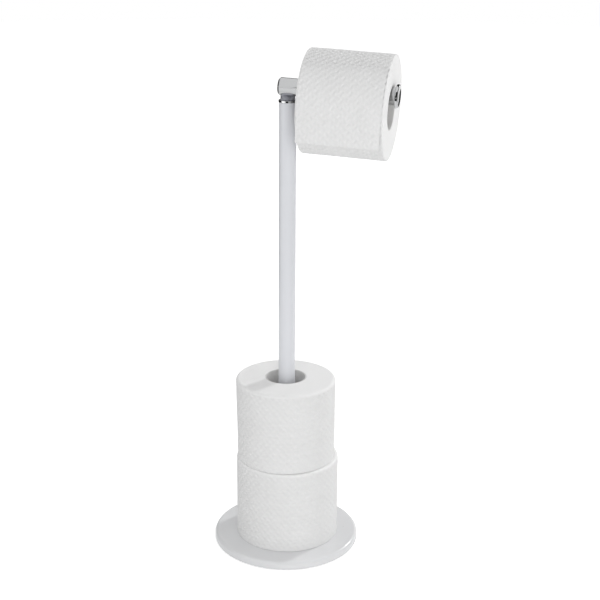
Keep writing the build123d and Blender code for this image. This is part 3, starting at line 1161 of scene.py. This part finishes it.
    def core_skin(self) -> Skin:
        """Closed skin of the core: a tube with its cut ends just rounded, turned about the roll's axis.

        Returns:
            The closed skin.
        """
        inner, outer, soft = self.core_bore / 2, self.core_radius, self.core_softness
        low, high = self.core_recess, self.width + self.far_rise - self.core_recess
        profile = joined(
            straight((low + soft, outer), (high - soft, outer), 12),
            straight((high, outer - soft), (high, inner + soft)),
            straight((high - soft, inner), (low + soft, inner), 12),
            straight((low, inner + soft), (low, outer - soft)),
        )
        return self.fall.carry_skin(turned_skin(profile, self.core_points, self.axis, self.foot, True))

    def build(self, bench: Bench) -> None:
        """Makes the paper and the core.

        Args:
            bench: Where they are finished.
        """
        name, body = self.body.value, self.body
        paper = self.paper_skin()
        bench.place(f"{name}_tissue", paper, Surface.TISSUE, body, f"{name}_paper", TISSUE_SHARP)
        bench.place(f"{name}_core_tube", self.core_skin(), Surface.BOARD, body, f"{name}_core")


@dataclass(frozen=True)
class LooseEnd:
    """The loose end of the roll in use: it follows the roll's front, then hangs with a slow curl.

    It lies on the roll for wrap_degrees and hangs free for hang. It is side_inset narrower than the roll on
    each side, and its right edge comes in by right_inset more towards the free end. Its right margin turns
    back, its free edge is torn in teeth, and a slow wave of wave_height crosses it.
    """

    roll: WoundRoll
    clearance: float = 0.1
    thickness: float = 0.4
    spacing: float = 0.66
    wrap_degrees: float = 55.0
    hang: float = 35.5
    curl_radius: float = 340.0
    side_inset: float = 2.0
    right_inset: float = 1.2
    inset_start: float = 0.35
    inset_power: float = 1.4
    margin: float = 8.5
    margin_slope: float = 0.5
    margin_power: float = 1.3
    tear_depth: float = 0.35
    tear_pitch: float = 1.9
    tear_power: int = 24
    wave_height: float = 0.45
    wave_count: float = 0.75
    wave_phase: float = 0.6
    settle_length: float = 9.0
    tuck: float = 0.05
    inner_relief: float = 0.35

    @property
    def inner_radius(self) -> float:
        """Radius that the band's inner face has on the roll."""
        return self.roll.radius + self.clearance

    def strip(self) -> tuple[np.ndarray, np.ndarray]:
        """Rows and columns of the band's grid, about one spacing apart.

        Returns:
            Distances along and across the band, in millimetres.
        """
        length = math.radians(self.wrap_degrees) * self.inner_radius + self.hang
        width = self.roll.width - 2 * self.side_inset
        along = np.linspace(0.0, length, round(length / self.spacing) + 1)
        return along, np.linspace(0.0, width, round(width / self.spacing) + 1)

    def centreline(self, along: np.ndarray) -> tuple[np.ndarray, np.ndarray]:
        """Line that the band's inner face follows in the roll's end view.

        First it turns with the roll at the clearance, then it turns on the far larger curl circle, which
        touches the first one at the roll's front.

        Args:
            along: Distance from the band's start.

        Returns:
            Points as (y, z) from the roll's axis, and the outward directions there.
        """
        inner, wrap = self.inner_radius, math.radians(self.wrap_degrees)
        turned = math.pi - wrap + np.minimum(along / inner, wrap)
        hung = np.maximum(along - wrap * inner, 0.0) / self.curl_radius
        round_points = inner * np.stack([np.cos(turned), np.sin(turned)], axis=-1)
        fall = np.stack([1.0 - np.cos(hung), -np.sin(hung)], axis=-1) * self.curl_radius
        angle = turned + hung
        outward = np.stack([np.cos(angle), np.sin(angle)], axis=-1)
        points = np.where((hung > 0)[..., None], np.array([-inner, 0.0]) + fall, round_points)
        return points, outward

    def turned_back(self, hung: np.ndarray, inset: np.ndarray) -> np.ndarray:
        """How far the right margin turns back towards the roll.

        The margin widens with the share hung^margin_power down to the free edge, and the turn is
        slope * d^2 / (d + 1), with d the distance past the margin's inner line.

        Args:
            hung: Distance below the place where the band leaves the roll, in millimetres.
            inset: Distance from the band's right edge.

        Returns:
            The distance towards the roll, in the broadcast shape.
        """
        reach = self.margin * np.clip(hung / self.hang, 0.0, 1.0) ** self.margin_power
        past = np.maximum(reach - inset, 0.0)
        return self.margin_slope * past**2 / (past + 1.0)

    def band(self, along: np.ndarray, across: np.ndarray) -> Skin:
        """Closed skin of the band: its centreline carried across, moved out by the relief and the waves.

        Args:
            along: Distance of each row from the band's start.
            across: Distance of each column from the band's left edge.

        Returns:
            The closed skin, where the band hangs.
        """
        roll, length, width = self.roll, along[-1], across[-1]
        points, outward = self.centreline(along)
        start = math.pi - math.radians(self.wrap_degrees)
        around = (start + along / roll.radius) * roll.radius
        rise = roll.emboss.height(across[None] + self.side_inset, around[:, None], roll.cell_around)
        share = along[:, None] / length
        wave = np.cos(FULL_TURN * across[None] / width * self.wave_count + self.wave_phase)
        lift = self.wave_height * share**2 * wave
        settle = eased(along[:, None] / self.settle_length)
        start_drop = -(self.clearance + self.thickness + self.tuck) * (1.0 - settle)
        teeth = np.abs(np.sin(math.pi * across[None] / self.tear_pitch))
        tear = self.tear_depth * teeth * share**self.tear_power
        late = np.clip((share - self.inset_start) / (1.0 - self.inset_start), 0.0, 1.0)
        narrow = self.right_inset * late**self.inset_power
        fold = self.turned_back(along[:, None] - (length - self.hang), width - across[None])
        x = roll.foot[0] + self.side_inset + across[None] * (1.0 - narrow / width)
        faces = []
        for height in (self.thickness + rise, self.inner_relief * rise):
            out = height + lift * settle + start_drop - fold
            plane = points[:, None] + outward[:, None] * out[..., None]
            y, z = roll.foot[1] + plane[..., 0], roll.foot[2] + plane[..., 1] + tear
            faces.append(np.stack(np.broadcast_arrays(x, y, z), axis=-1))
        return roll.fall.carry_skin(band_skin(faces[0], faces[1], across, along))

    def build(self, bench: Bench) -> bpy.types.Object:
        """Args:
            bench: Where it is finished.

        Returns:
            The band.
        """
        along, across = self.strip()
        skin, body = self.band(along, across), self.roll.body
        piece = bench.place("arm_roll_loose_end", skin, Surface.TISSUE, body, "arm_roll_tail", TISSUE_SHARP)
        return piece


@dataclass(frozen=True)
class Base:
    """The round base: a pressed shell over its weight, closed below by a plate and a soft pad."""

    diameter: float = 170.0
    height: float = 9.5
    sheet: float = 1.4
    edge_radius: float = 4.0
    foot_radius: float = 0.5
    floor_gap: float = 0.8
    screw_hole: float = 3.2
    points_round: int = 192

    def shell_skin(self) -> Skin:
        """Closed skin of the shell: flat top, rounded shoulder, skirt, rolled foot and the inside.

        One closed profile turned about the pole's axis, from the screw hole out and back to it.

        Returns:
            The closed skin.
        """
        r, inner = self.diameter / 2, self.diameter / 2 - self.sheet
        under = self.height - self.sheet
        e, f, bend = self.edge_radius, self.foot_radius, self.edge_radius - self.sheet
        profile = joined(
            straight((self.height, self.screw_hole), (self.height, r - e), 10),
            arc((self.height - e, r - e), e, 0, 90, 14),
            straight((self.height - e, r), (self.floor_gap + f, r), 2),
            arc((self.floor_gap + f, r - f), f, 90, 180, 6),
            straight((self.floor_gap, r - f), (self.floor_gap, inner), 1, 0.05),
            straight((self.floor_gap, inner), (under - bend, inner), 2),
            arc((under - bend, inner - bend), bend, 90, 0, 10),
            straight((under, inner - bend), (under, self.screw_hole), 6),
        )
        return turned_skin(profile, self.points_round, Axis.UP, ORIGIN, True)

    def build(self, bench: Bench) -> None:
        """Makes the shell and dresses what is under it.

        Args:
            bench: Where they are finished.
        """
        # the base's coat copy is lighter: painted light
        bench.place("base_dish", self.shell_skin(), Surface.BASE_COAT_PAINTED_LIGHT, Body.STAND, "base_shell")
        bench.dress(Surface.CASTING, "base_weight")
        screwed = ("bottom_plate", "bottom_plate_screws", "pole_fixing_screw", "pole_lock_washer")
        bench.dress(Surface.ZINC, *screwed)
        bench.dress(Surface.PAD, "base_pad")


@dataclass(frozen=True)
class Pole:
    """The pole: a coated tube from the base to the collar, with its insert and its bush."""

    diameter: float = 19.0
    wall: float = 1.2
    foot: float = 9.5
    length: float = 512.9
    end_chamfer: float = 0.3

    def tube_skin(self) -> Skin:
        """Closed skin of the tube, its end edges just broken, turned about the pole's axis.

        Returns:
            The closed skin.
        """
        outer, inner, c = self.diameter / 2, self.diameter / 2 - self.wall, self.end_chamfer
        top = self.foot + self.length
        profile = joined(
            arc((self.foot + c, outer - c), c, 180, 90, 4),
            straight((self.foot + c, outer), (top - c, outer), 40),
            arc((top - c, outer - c), c, 90, 0, 4),
            straight((top, inner), (self.foot, inner), 12, 0.2),
        )
        return turned_skin(profile, POINTS_ROUND, Axis.UP, ORIGIN, True)

    def build(self, bench: Bench) -> None:
        """Makes the tube and dresses what is inside it.

        Args:
            bench: Where they are finished.
        """
        # the pole's coat copy is darker and bluer: painted shade
        bench.place("pole_tube", self.tube_skin(), Surface.POLE_COAT_PAINTED_SHADE, Body.STAND, "pole")
        bench.dress(Surface.ZINC, "pole_insert")
        bench.dress(Surface.BUSH, "pole_liner")


@dataclass(frozen=True)
class Head:
    """The plated head: collar, neck with its spigot, arm, back cap and end disc."""

    pole_top: float = 520.5
    seat: float = 0.1
    collar_diameter: float = 20.2
    collar_height: float = 4.3
    collar_foot: float = 1.8
    lip_height: float = 2.4
    lip_edge: float = 0.3
    shoulder: float = 8.3
    skirt_radius: float = 7.15
    skirt_depth: float = 10.0
    spigot_radius: float = 6.0
    running_clearance: float = 0.075
    spigot_length: float = 42.0
    spigot_chamfer: float = 1.2
    ring_depth: float = 24.0
    groove_radius: float = 4.705
    groove_half: float = 0.87
    neck_radius: float = 8.1
    neck_show: float = 4.1
    neck_waist: float = 0.75
    waist_power: float = 0.6
    neck_rows: int = 10
    first_row: float = 0.05
    saddle_rows: int = 8
    saddle_edge: float = 0.15
    boss_radius: float = 3.6
    boss_rise: float = 0.8
    boss_wall: float = 0.5
    arm_radius: float = 9.5
    arm_wall: float = 1.2
    arm_chamfer: float = 0.15
    arm_back: float = 7.6
    arm_reach: float = 117.1
    arm_fall: float = 2.5
    roll_drop: float = 12.7
    cap_band: float = 0.1
    cap_bevel: float = 1.7
    cap_bevel_angle: float = 36.0
    cap_round: float = 0.6
    cap_plug: float = 3.4
    cap_plug_wall: float = 1.4
    disc_radius: float = 13.0
    disc_thickness: float = 3.6
    disc_rim: float = 3.2
    disc_edge: float = 0.35
    disc_round: float = 1.5
    disc_boss: float = 8.0
    disc_points: int = 160
    dish_radius: float = 11.0
    dish_depth: float = 1.2
    stud_radius: float = 2.98
    stud_length: float = 10.0

    @property
    def neck_foot(self) -> float:
        """Height of the neck's foot, just over the collar."""
        return self.pole_top + 2 * self.seat + self.collar_height

    @property
    def arm_height(self) -> float:
        """Height of the arm's axis where it crosses the pole's."""
        return self.neck_foot + self.neck_show + self.arm_radius

    @property
    def fall(self) -> Fall:
        """The arm's fall, about the place where its axis crosses the pole's."""
        return Fall(self.arm_height, self.arm_fall)

    def on_arm(self, profile: np.ndarray, count: int, loop: bool) -> Skin:
        """Skin of a piece turned about the arm's axis, fallen with the arm."""
        return self.fall.carry_skin(turned_skin(profile, count, Axis.ARM, (0.0, 0.0, self.arm_height), loop))

    def collar_skin(self) -> Skin:
        """Closed skin of the collar: upright lip with soft edges, sloped shoulder and a skirt below.

        One closed profile turned about the pole's axis.

        Returns:
            The closed skin.
        """
        foot, top = self.pole_top + self.collar_foot, self.neck_foot - self.seat
        lip_top, rim, e = foot + self.lip_height, self.collar_diameter / 2, self.lip_edge
        bore, skirt = self.spigot_radius + self.running_clearance, self.pole_top - self.skirt_depth
        inside = [
            (lip_top, rim - e),
            (top, self.shoulder),
            (top, bore),
            (skirt, bore),
            (skirt, self.skirt_radius),
            (foot, self.skirt_radius),
            (foot, rim - e),
        ]
        profile = joined(
            arc((foot + e, rim - e), e, 180, 90, 6),
            straight((foot + e, rim), (lip_top - e, rim), 2, 0.05),
            arc((lip_top - e, rim - e), e, 90, 0, 6),
            cornered(inside, [1, 1, 4, 1, 4, 1]),
        )
        return turned_skin(profile, POINTS_ROUND, Axis.UP, ORIGIN, True)

    def neck_skin(self) -> Skin:
        """Closed skin of the neck and its spigot.

        Below the neck's foot every ring is level. Above it a ring at share t of the neck's height stands at
        foot + t * (saddle - foot), where the saddle's height at a point is that of the arm's underside
        there, with a the arm's fall: arm height - x tan a - sqrt(arm radius^2 - y^2) / cos a. Across the arm
        the neck narrows by the waist's share on its way up, so that it stays below the arm. Rings then
        close in along the saddle to the boss.

        Returns:
            The closed skin.
        """
        foot = self.neck_foot
        low, ring = self.pole_top - self.spigot_length, self.pole_top - self.ring_depth
        s, g, c, h = self.spigot_radius, self.groove_radius, self.spigot_chamfer, self.groove_half
        spigot = [
            (low, 0.0),
            (low, s - c),
            (low + c, s),
            (ring - h, s),
            (ring - h, g),
            (ring + h, g),
            (ring + h, s),
            (foot, s),
            (foot, self.neck_radius),
        ]
        level = cornered(spigot, [1, 1, 6, 1, 2, 1, 6, 1])
        boss_top = self.arm_height - (self.arm_radius - self.arm_wall) + self.boss_rise
        boss = joined(
            straight((boss_top - self.boss_wall, self.boss_radius), (boss_top, self.boss_radius), 1, 0.05),
            straight((boss_top, self.boss_radius), (boss_top, 0.0)),
        )
        angle = (np.arange(POINTS_ROUND) * FULL_TURN / POINTS_ROUND)[None]
        rising = np.linspace(self.first_row, 1.0, self.neck_rows)[:, None]
        inward = np.linspace(self.neck_radius - self.saddle_edge, self.boss_radius, self.saddle_rows)[:, None]
        rings = np.concatenate(
            [
                spun(level[:, :1], level[:, 1:], angle, Axis.UP, ORIGIN),
                self.saddled(np.full_like(rising, self.neck_radius), rising, angle),
                self.saddled(inward, np.ones_like(inward), angle),
                spun(boss[:, :1], boss[:, 1:], angle, Axis.UP, ORIGIN),
            ]
        )
        return ring_skin(rings, run_along(rings[:, 0]), False)

    def saddled(self, out: np.ndarray, share: np.ndarray, angle: np.ndarray) -> np.ndarray:
        """Rings between the neck's foot and the arm's underside.

        Args:
            out: Distance of each ring from the pole's axis.
            share: Share of the way from the foot to the saddle.
            angle: Angles round the axis.

        Returns:
            The rings' points.
        """
        narrow = 1.0 - self.neck_waist * share**self.waist_power
        x, y = out * np.cos(angle), out * np.sin(angle) * narrow
        fall = math.radians(self.arm_fall)
        saddle = self.arm_height - x * math.tan(fall) - np.sqrt(self.arm_radius**2 - y**2) / math.cos(fall)
        height = self.neck_foot + share * (saddle - self.neck_foot)
        return np.stack(np.broadcast_arrays(x, y, height), axis=-1)

    def arm_skin(self) -> Skin:
        """Closed skin of the arm's tube, its end edges just broken, turned about the arm's axis.

        Returns:
            The closed skin.
        """
        outer, inner, c = self.arm_radius, self.arm_radius - self.arm_wall, self.arm_chamfer
        back, reach = -self.arm_back, self.arm_reach
        profile = joined(
            straight((back, outer - c), (back + c, outer), 1, 0.02),
            straight((back + c, outer), (reach - c, outer), 24),
            straight((reach - c, outer), (reach, outer - c), 1, 0.02),
            straight((reach, inner), (back, inner), 12),
        )
        return self.on_arm(profile, POINTS_ROUND, True)

    def cap_skin(self) -> Skin:
        """Closed skin of the back cap: flat face, bevelled rim with soft edges, and a hollow plug.

        One profile turned about the arm's axis, its first and last points on the axis.

        Returns:
            The closed skin.
        """
        joint, r, e, turn = -self.arm_back, self.arm_radius, self.cap_round, 90 + self.cap_bevel_angle
        bevel = math.radians(self.cap_bevel_angle)
        down = np.array([math.cos(bevel), math.sin(bevel)]) * self.cap_bevel
        shoulder = np.array([joint - self.cap_band, r - e])
        rim = arc(shoulder - down, e, 180, turn, 8)
        bore, plug_end = self.arm_radius - self.arm_wall, joint + self.cap_plug
        hollow = bore - self.cap_plug_wall
        plug = [
            (joint, r),
            (joint, bore),
            (plug_end, bore),
            (plug_end, hollow),
            (joint, hollow),
            (joint, 0.0),
        ]
        profile = joined(
            straight((rim[0, 0], 0.0), rim[0], 6),
            rim,
            arc(shoulder, e, turn, 90, 8),
            straight((joint - self.cap_band, r), (joint, r), 1, 0.05),
            cornered(plug, [1, 2, 1, 2, 2]),
        )
        return self.on_arm(profile, POINTS_ROUND, False)

    def disc_skin(self) -> Skin:
        """Closed skin of the end disc: stud, coned back, rounded rim, narrow ring and dished middle.

        One profile turned about the arm's axis. The dish is part of a sphere of radius
        (dish radius^2 + depth^2) / (2 * depth), and the rim's front is a quarter of an ellipse.

        Returns:
            The closed skin.
        """
        back, face = self.arm_reach, self.arm_reach + self.disc_thickness
        rim, stud = face - self.disc_rim, back - self.stud_length
        r, e, f, dish = self.disc_radius, self.disc_edge, self.disc_round, self.dish_radius
        sphere = (dish**2 + self.dish_depth**2) / (2 * self.dish_depth)
        edge = math.degrees(math.asin(dish / sphere))
        rear = [(stud, 0.0), (stud, self.stud_radius), (back, self.stud_radius), (back, self.disc_boss)]
        profile = joined(
            cornered([*rear, (rim, r - e)], [1, 2, 2, 2]),
            arc((rim + e, r - e), e, 180, 90, 12),
            arc((0.0, 0.0), 1.0, 90, 0, 18) * (face - rim - e, f) + (rim + e, r - f),
            straight((face, r - f), (face, dish), 1, 0.05),
            arc((face - self.dish_depth + sphere, 0.0), sphere, 180 - edge, 180, 14),
        )
        profile[-1, 1] = 0.0
        return self.on_arm(profile, self.disc_points, False)

    def build(self, bench: Bench) -> None:
        """Makes the plated pieces and dresses what is inside them.

        Args:
            bench: Where they are finished.
        """
        bench.place("swivel_ring", self.collar_skin(), Surface.PLATING, Body.COLLAR, "swivel_collar")
        # the neck's blue tint is painted reflection
        bench.place("saddle_neck", self.neck_skin(), Surface.SATIN_PAINTED_REFLECTION, Body.HEAD, "head_neck")
        bench.place("arm_tube_skin", self.arm_skin(), Surface.PLATING, Body.HEAD, "arm_tube")
        bench.place("bevelled_cap", self.cap_skin(), Surface.PLATING, Body.HEAD, "arm_back_cap")
        bench.place("dished_disc", self.disc_skin(), Surface.PLATING, Body.HEAD, "end_disc")
        bench.dress(Surface.RUBBER, "friction_ring")
        bench.dress(Surface.ZINC, "arm_end_insert")


@dataclass(frozen=True)
class View:
    """The photograph's viewpoint: a level distance and a height from the pole's foot, and four turns.

    The distance and the height are in millimetres, as lens and sensor are. clip is in metres.
    """

    lens: float = 73.906
    sensor: float = 36.0
    clip: tuple[float, float] = (0.05, 30.0)
    distance: float = 1321.83
    height: float = 742.30
    tilt: float = 18.582
    pan: float = 0.637
    bank: float = 0.438
    turn: float = 14.198

    def rightward(self) -> np.ndarray:
        """Level direction to the right as the camera faces the pole."""
        return np.array([math.cos(math.radians(self.turn)), math.sin(math.radians(self.turn)), 0.0])

    def away(self) -> np.ndarray:
        """Level direction away from the camera."""
        return np.array([-math.sin(math.radians(self.turn)), math.cos(math.radians(self.turn)), 0.0])

    def place(self, right: float, away: float, up: float) -> np.ndarray:
        """Point in metres at those distances from the pole's foot, as the camera faces it."""
        return right * self.rightward() + away * self.away() + np.array([0.0, 0.0, up])

    def build(self) -> bpy.types.Object:
        """Makes the camera.

        It looks along cos(tilt) * (sin(pan) * right + cos(pan) * away) - sin(tilt) * up, banked a little.

        Returns:
            The camera.
        """
        pan, tilt, bank = (math.radians(a) for a in (self.pan, self.tilt, self.bank))
        ahead = math.sin(pan) * self.rightward() + math.cos(pan) * self.away()
        ahead = math.cos(tilt) * ahead - math.sin(tilt) * np.array([0.0, 0.0, 1.0])
        side = math.cos(pan) * self.rightward() - math.sin(pan) * self.away()
        above = np.cross(side, ahead)
        x = side * math.cos(bank) + above * math.sin(bank)
        y = above * math.cos(bank) - side * math.sin(bank)
        data = bpy.data.cameras.new("studio_camera")
        data.lens = self.lens
        data.sensor_width = self.sensor
        data.clip_start, data.clip_end = self.clip
        camera = in_scene("studio_camera", data)
        stand = self.place(0.0, -self.distance * METRE_PER_MM, self.height * METRE_PER_MM)
        rows = [[x[i], y[i], -ahead[i], stand[i]] for i in range(3)]
        camera.matrix_world = Matrix([*rows, [0.0, 0.0, 0.0, 1.0]])
        bpy.context.scene.camera = camera
        return camera


@dataclass(frozen=True)
class Lamp:
    """A soft rectangular lamp, placed and aimed in metres as the camera faces the pole."""

    name: str
    place: Point
    aim: Point
    size: tuple[float, float]
    power: float
    seen_in_gloss: bool = True

    def build(self, view: View) -> bpy.types.Object:
        """Makes the lamp.

        Args:
            view: The photograph's viewpoint.

        Returns:
            The lamp.
        """
        data = bpy.data.lights.new(self.name, "AREA")
        data.shape = "RECTANGLE"
        data.size, data.size_y = self.size
        data.energy = self.power
        lamp = in_scene(self.name, data)
        here, there = view.place(*self.place), view.place(*self.aim)
        lamp.location = Vector(here)
        lamp.rotation_mode = "QUATERNION"
        lamp.rotation_quaternion = Vector(there - here).to_track_quat("-Z", "Y")
        lamp.visible_camera = False
        lamp.visible_glossy = self.seen_in_gloss
        return lamp


@dataclass(frozen=True)
class Flag:
    """A curved card round the holder that only polished surfaces mirror, as studios draw chrome with.

    It stands reach metres from the pole, between two angles and from low to high. shade is its grey: most
    are near black, and some are grey or a bright card.
    """

    name: str
    first: float
    last: float
    reach: float
    low: float
    high: float
    shade: float = 0.01
    steps: int = 16

    def build(self, view: View) -> bpy.types.Object:
        """Makes the card.

        Its points are reach * (sin a * right - cos a * away) + height * up, where the angle a goes from
        first to last and is counted from the direction to the camera, to the right.

        Args:
            view: The photograph's viewpoint.

        Returns:
            The card.
        """
        angle = np.radians(np.linspace(self.first, self.last, self.steps + 1))
        level = np.sin(angle)[:, None] * view.rightward() - np.cos(angle)[:, None] * view.away()
        rows = [self.reach * level + np.array([0.0, 0.0, height]) for height in (self.low, self.high)]
        col = np.arange(self.steps)
        above = col + len(angle)
        quads = np.stack([col, col + 1, above + 1, above], axis=1)
        mesh = bpy.data.meshes.new(self.name)
        mesh.from_pydata(np.concatenate(rows).tolist(), [], quads.tolist())
        card = in_scene(self.name, mesh)
        material, wiring = empty_material(f"{self.name}_card")
        glow = wiring.node("ShaderNodeEmission", {"Color": opaque((self.shade,) * 3), "Strength": 1.0})
        wiring.node("ShaderNodeOutputMaterial", {"Surface": glow.outputs[0]})
        mesh.materials.append(material)
        for rays in ("camera", "diffuse", "shadow", "transmission", "volume_scatter"):
            setattr(card, f"visible_{rays}", False)
        return card


# Where each lamp stands and what it is aimed at, its size, and its power in watts.
LAMPS = (
    Lamp("key_lamp", (1.56, 1.36, 1.46), (0.0, 0.0, 0.2), (0.17, 0.17), 19.3),
    Lamp("front_fill", (0.25, -2.0, 0.45), (0.0, 0.0, 0.3), (1.6, 0.9), 9.3, seen_in_gloss=False),
    Lamp("front_high", (0.1, -1.8, 1.3), (0.0, 0.0, 0.3), (1.4, 0.8), 2.7, seen_in_gloss=False),
)
# Each card's two angles in degrees, its distance, its lower and upper edge, and its grey.
FLAGS = (
    Flag("flag_left_high", -155.0, -84.0, 0.8, 0.57, 1.1),
    Flag("flag_left_middle", -150.0, -84.0, 0.8, 0.46, 0.57, 0.3),
    Flag("flag_left_low", -180.0, -84.0, 0.8, 0.03, 0.32),
    Flag("flag_left_edge", -145.0, -84.0, 0.8, 0.32, 0.46),
    Flag("flag_back_grey", -180.0, -145.0, 0.8, 0.32, 0.46, 0.6),
    Flag("card_left", -80.0, -38.0, 0.8, 0.34, 0.46, 1.8),
    Flag("flag_back", -195.0, -165.0, 0.81, 0.6, 1.05, 0.02),
    Flag("flag_front", -26.0, 4.0, 0.6, 0.16, 0.68, 0.005),
    Flag("flag_near", 4.0, 42.0, 0.6, 0.4, 0.5, 0.6),
    Flag("flag_near_low", 4.0, 42.0, 0.6, 0.16, 0.4, 0.02),
    Flag("flag_near_high", 4.0, 42.0, 0.6, 0.5, 1.1),
    Flag("flag_right", 42.0, 139.0, 1.0, 0.02, 1.2, 0.02),
    Flag("flag_right_high", 120.0, 175.0, 1.01, 0.4, 2.2, 0.02),
)


@dataclass(frozen=True)
class Studio:
    """White room: a pale floor that keeps the shadow, an even white surround, lamps and cards.

    floor_glow is what the camera sees the floor give off beside the light on it, and floor_gloss_glow what
    mirrors and glass see. low_glow and high_glow are the surround's light on the object.
    """

    floor_rings: tuple[float, ...] = (0.3, 1.0, 2.5, 6.0)
    floor_points: int = 96
    floor_drop: float = 0.0004
    floor_colour: float = 0.9
    floor_roughness: float = 0.6
    floor_glow: float = 0.5
    floor_gloss_glow: float = 0.28
    low_glow: float = 0.62
    high_glow: float = 0.67

    @staticmethod
    def mirrored(path: bpy.types.Node, wiring: Wiring) -> bpy.types.NodeSocket:
        """Share that is 1 for rays that a mirror or glass sends, and 0 for the others."""
        return wiring.math("MAXIMUM", path.outputs["Is Glossy Ray"], path.outputs["Is Transmission Ray"])

    def build_surround(self) -> bpy.types.World:
        """Makes the white surround: full white where it is seen, and dimmer as light on the object.

        As light it goes from low_glow at the horizon to high_glow overhead, like a room with a pale ceiling.

        Returns:
            The world.
        """
        world = bpy.data.worlds.new("white_surround")
        bpy.context.scene.world = world
        world.use_nodes = True
        world.node_tree.nodes.clear()
        wiring = Wiring(world.node_tree)
        toward = wiring.node("ShaderNodeTexCoord").outputs["Generated"]
        height = wiring.node("ShaderNodeSeparateXYZ", {"Vector": toward}).outputs["Z"]
        strength = wiring.ramp(height, 0.0, 1.0, self.low_glow, self.high_glow)
        light = wiring.node("ShaderNodeBackground", {"Color": WHITE, "Strength": strength})
        white = wiring.node("ShaderNodeBackground", {"Color": WHITE, "Strength": 1.0})
        path = wiring.node("ShaderNodeLightPath")
        seen = wiring.math("MAXIMUM", path.outputs["Is Camera Ray"], self.mirrored(path, wiring))
        mix = wiring.node("ShaderNodeMixShader", {0: seen, 1: light.outputs[0], 2: white.outputs[0]})
        wiring.node("ShaderNodeOutputWorld", {"Surface": mix.outputs[0]})
        return world

    def build_floor(self) -> bpy.types.Object:
        """Makes the floor: a wide disc just under the base, white where it is lit, with the shadow kept.

        Its points are ring radius * (cos a, sin a) round a middle one, and quads join ring to ring.

        Returns:
            The floor.
        """
        count = self.floor_points
        angle = np.arange(count) * FULL_TURN / count
        ring = np.stack([np.cos(angle), np.sin(angle), np.zeros(count)], axis=1)
        points = np.concatenate([[ORIGIN], *(radius * ring for radius in self.floor_rings)])
        points[:, 2] = -self.floor_drop
        col = np.arange(count)
        right = (col + 1) % count
        fans = np.stack([np.zeros(count, int), 1 + col, 1 + right], axis=1)
        start = 1 + count * np.arange(len(self.floor_rings) - 1)[:, None]
        here, beside = start + col, start + right
        quads = np.stack([here, here + count, beside + count, beside], axis=-1).reshape(-1, 4)
        mesh = bpy.data.meshes.new("pale_floor")
        mesh.from_pydata(points.tolist(), [], fans.tolist() + quads.tolist())
        mesh.materials.append(self.floor_paint())
        floor = in_scene("pale_floor", mesh)
        return floor

    def floor_paint(self) -> bpy.types.Material:
        """Makes the floor's paint: matt white, with a glow of its own that only rays that see it get.

        Returns:
            The material.
        """
        material, wiring = empty_material("pale_floor_paint")
        matt = {"Color": opaque((self.floor_colour,) * 3), "Roughness": self.floor_roughness}
        paint = wiring.node("ShaderNodeBsdfDiffuse", matt)
        path = wiring.node("ShaderNodeLightPath")
        direct = wiring.math("MULTIPLY", path.outputs["Is Camera Ray"], self.floor_glow)
        mirrored = self.mirrored(path, wiring)
        strength = wiring.math("MULTIPLY_ADD", mirrored, self.floor_gloss_glow, direct)
        glow = wiring.node("ShaderNodeEmission", {"Color": WHITE, "Strength": strength})
        both = wiring.node("ShaderNodeAddShader", {0: paint.outputs[0], 1: glow.outputs[0]})
        wiring.node("ShaderNodeOutputMaterial", {"Surface": both.outputs[0]})
        return material

    def build(self, view: View) -> None:
        """Makes the surround, the floor, the lamps and the cards.

        Args:
            view: The photograph's viewpoint.
        """
        bpy.context.scene.view_settings.view_transform = "Standard"
        self.build_surround()
        self.build_floor()
        for lamp in LAMPS:
            lamp.build(view)
            LOG.info("lamp %s, %.1f W", lamp.name, lamp.power)
        for flag in FLAGS:
            flag.build(view)
            LOG.info("%s from %.0f to %.0f degrees", flag.name, flag.first, flag.last)


def roll_in_use(head: Head) -> WoundRoll:
    """Describes the roll on the arm, which hangs on its upper side and falls with it.

    Args:
        head: The plated head.

    Returns:
        The roll.
    """
    return WoundRoll(
        Body.ARM_ROLL, Axis.ARM, (21.7, 0.0, head.arm_height - head.roll_drop), diameter=112.8, width=92.8,
        first_edge=2.0, far_edge=2.0, cells_around=44, seed=5, fall=head.fall, far_rise=-1.1,
        emboss=Emboss(depth=0.78, deepening=1.35),
    )


def spare_rolls() -> tuple[WoundRoll, WoundRoll]:
    """Describes the two rolls round the pole, the upper one on the lower one.

    Returns:
        The upper and the lower roll.
    """
    upper = WoundRoll(
        Body.UPPER_ROLL, Axis.UP, (-1.0, -0.3, 107.6), diameter=115.0, width=96.5,
        first_edge=0.9, far_edge=4.2, cells_around=45, seed=11, growth=(-0.6, 0.6), lean=(0.8, 0.15),
        far_rise=1.1, crease_height=85.0, crease_depth=0.25, edge_step=0.3, edge_angle=1.9,
        emboss=Emboss(depth=0.58, deepening=0.35, deep_angle=-2.3, deep_spread=0.5),
    )
    lower = WoundRoll(
        Body.LOWER_ROLL, Axis.UP, (1.3, 0.2, 9.8), diameter=120.0, width=97.5,
        first_edge=0.4, far_edge=3.4, cells_around=47, seed=23, edge_step=0.3, edge_angle=2.6,
        emboss=Emboss(depth=0.56, deepening=0.75, deep_angle=-2.3, deep_spread=0.5),
    )
    return upper, lower


def main() -> None:
    """Builds the holder in order, from the studio to the finished pieces."""
    logging.basicConfig(level=logging.INFO, format="%(name)s: %(message)s")
    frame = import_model()
    view = View()
    view.build()
    Studio().build(view)
    bench, head = Bench(frame["nodes"]), Head()
    arm_roll = roll_in_use(head)
    for piece in (Base(), Pole(), head, arm_roll, LooseEnd(arm_roll), *spare_rolls()):
        piece.build(bench)
    bpy.context.view_layer.update()


if __name__ == "__main__":
    main()
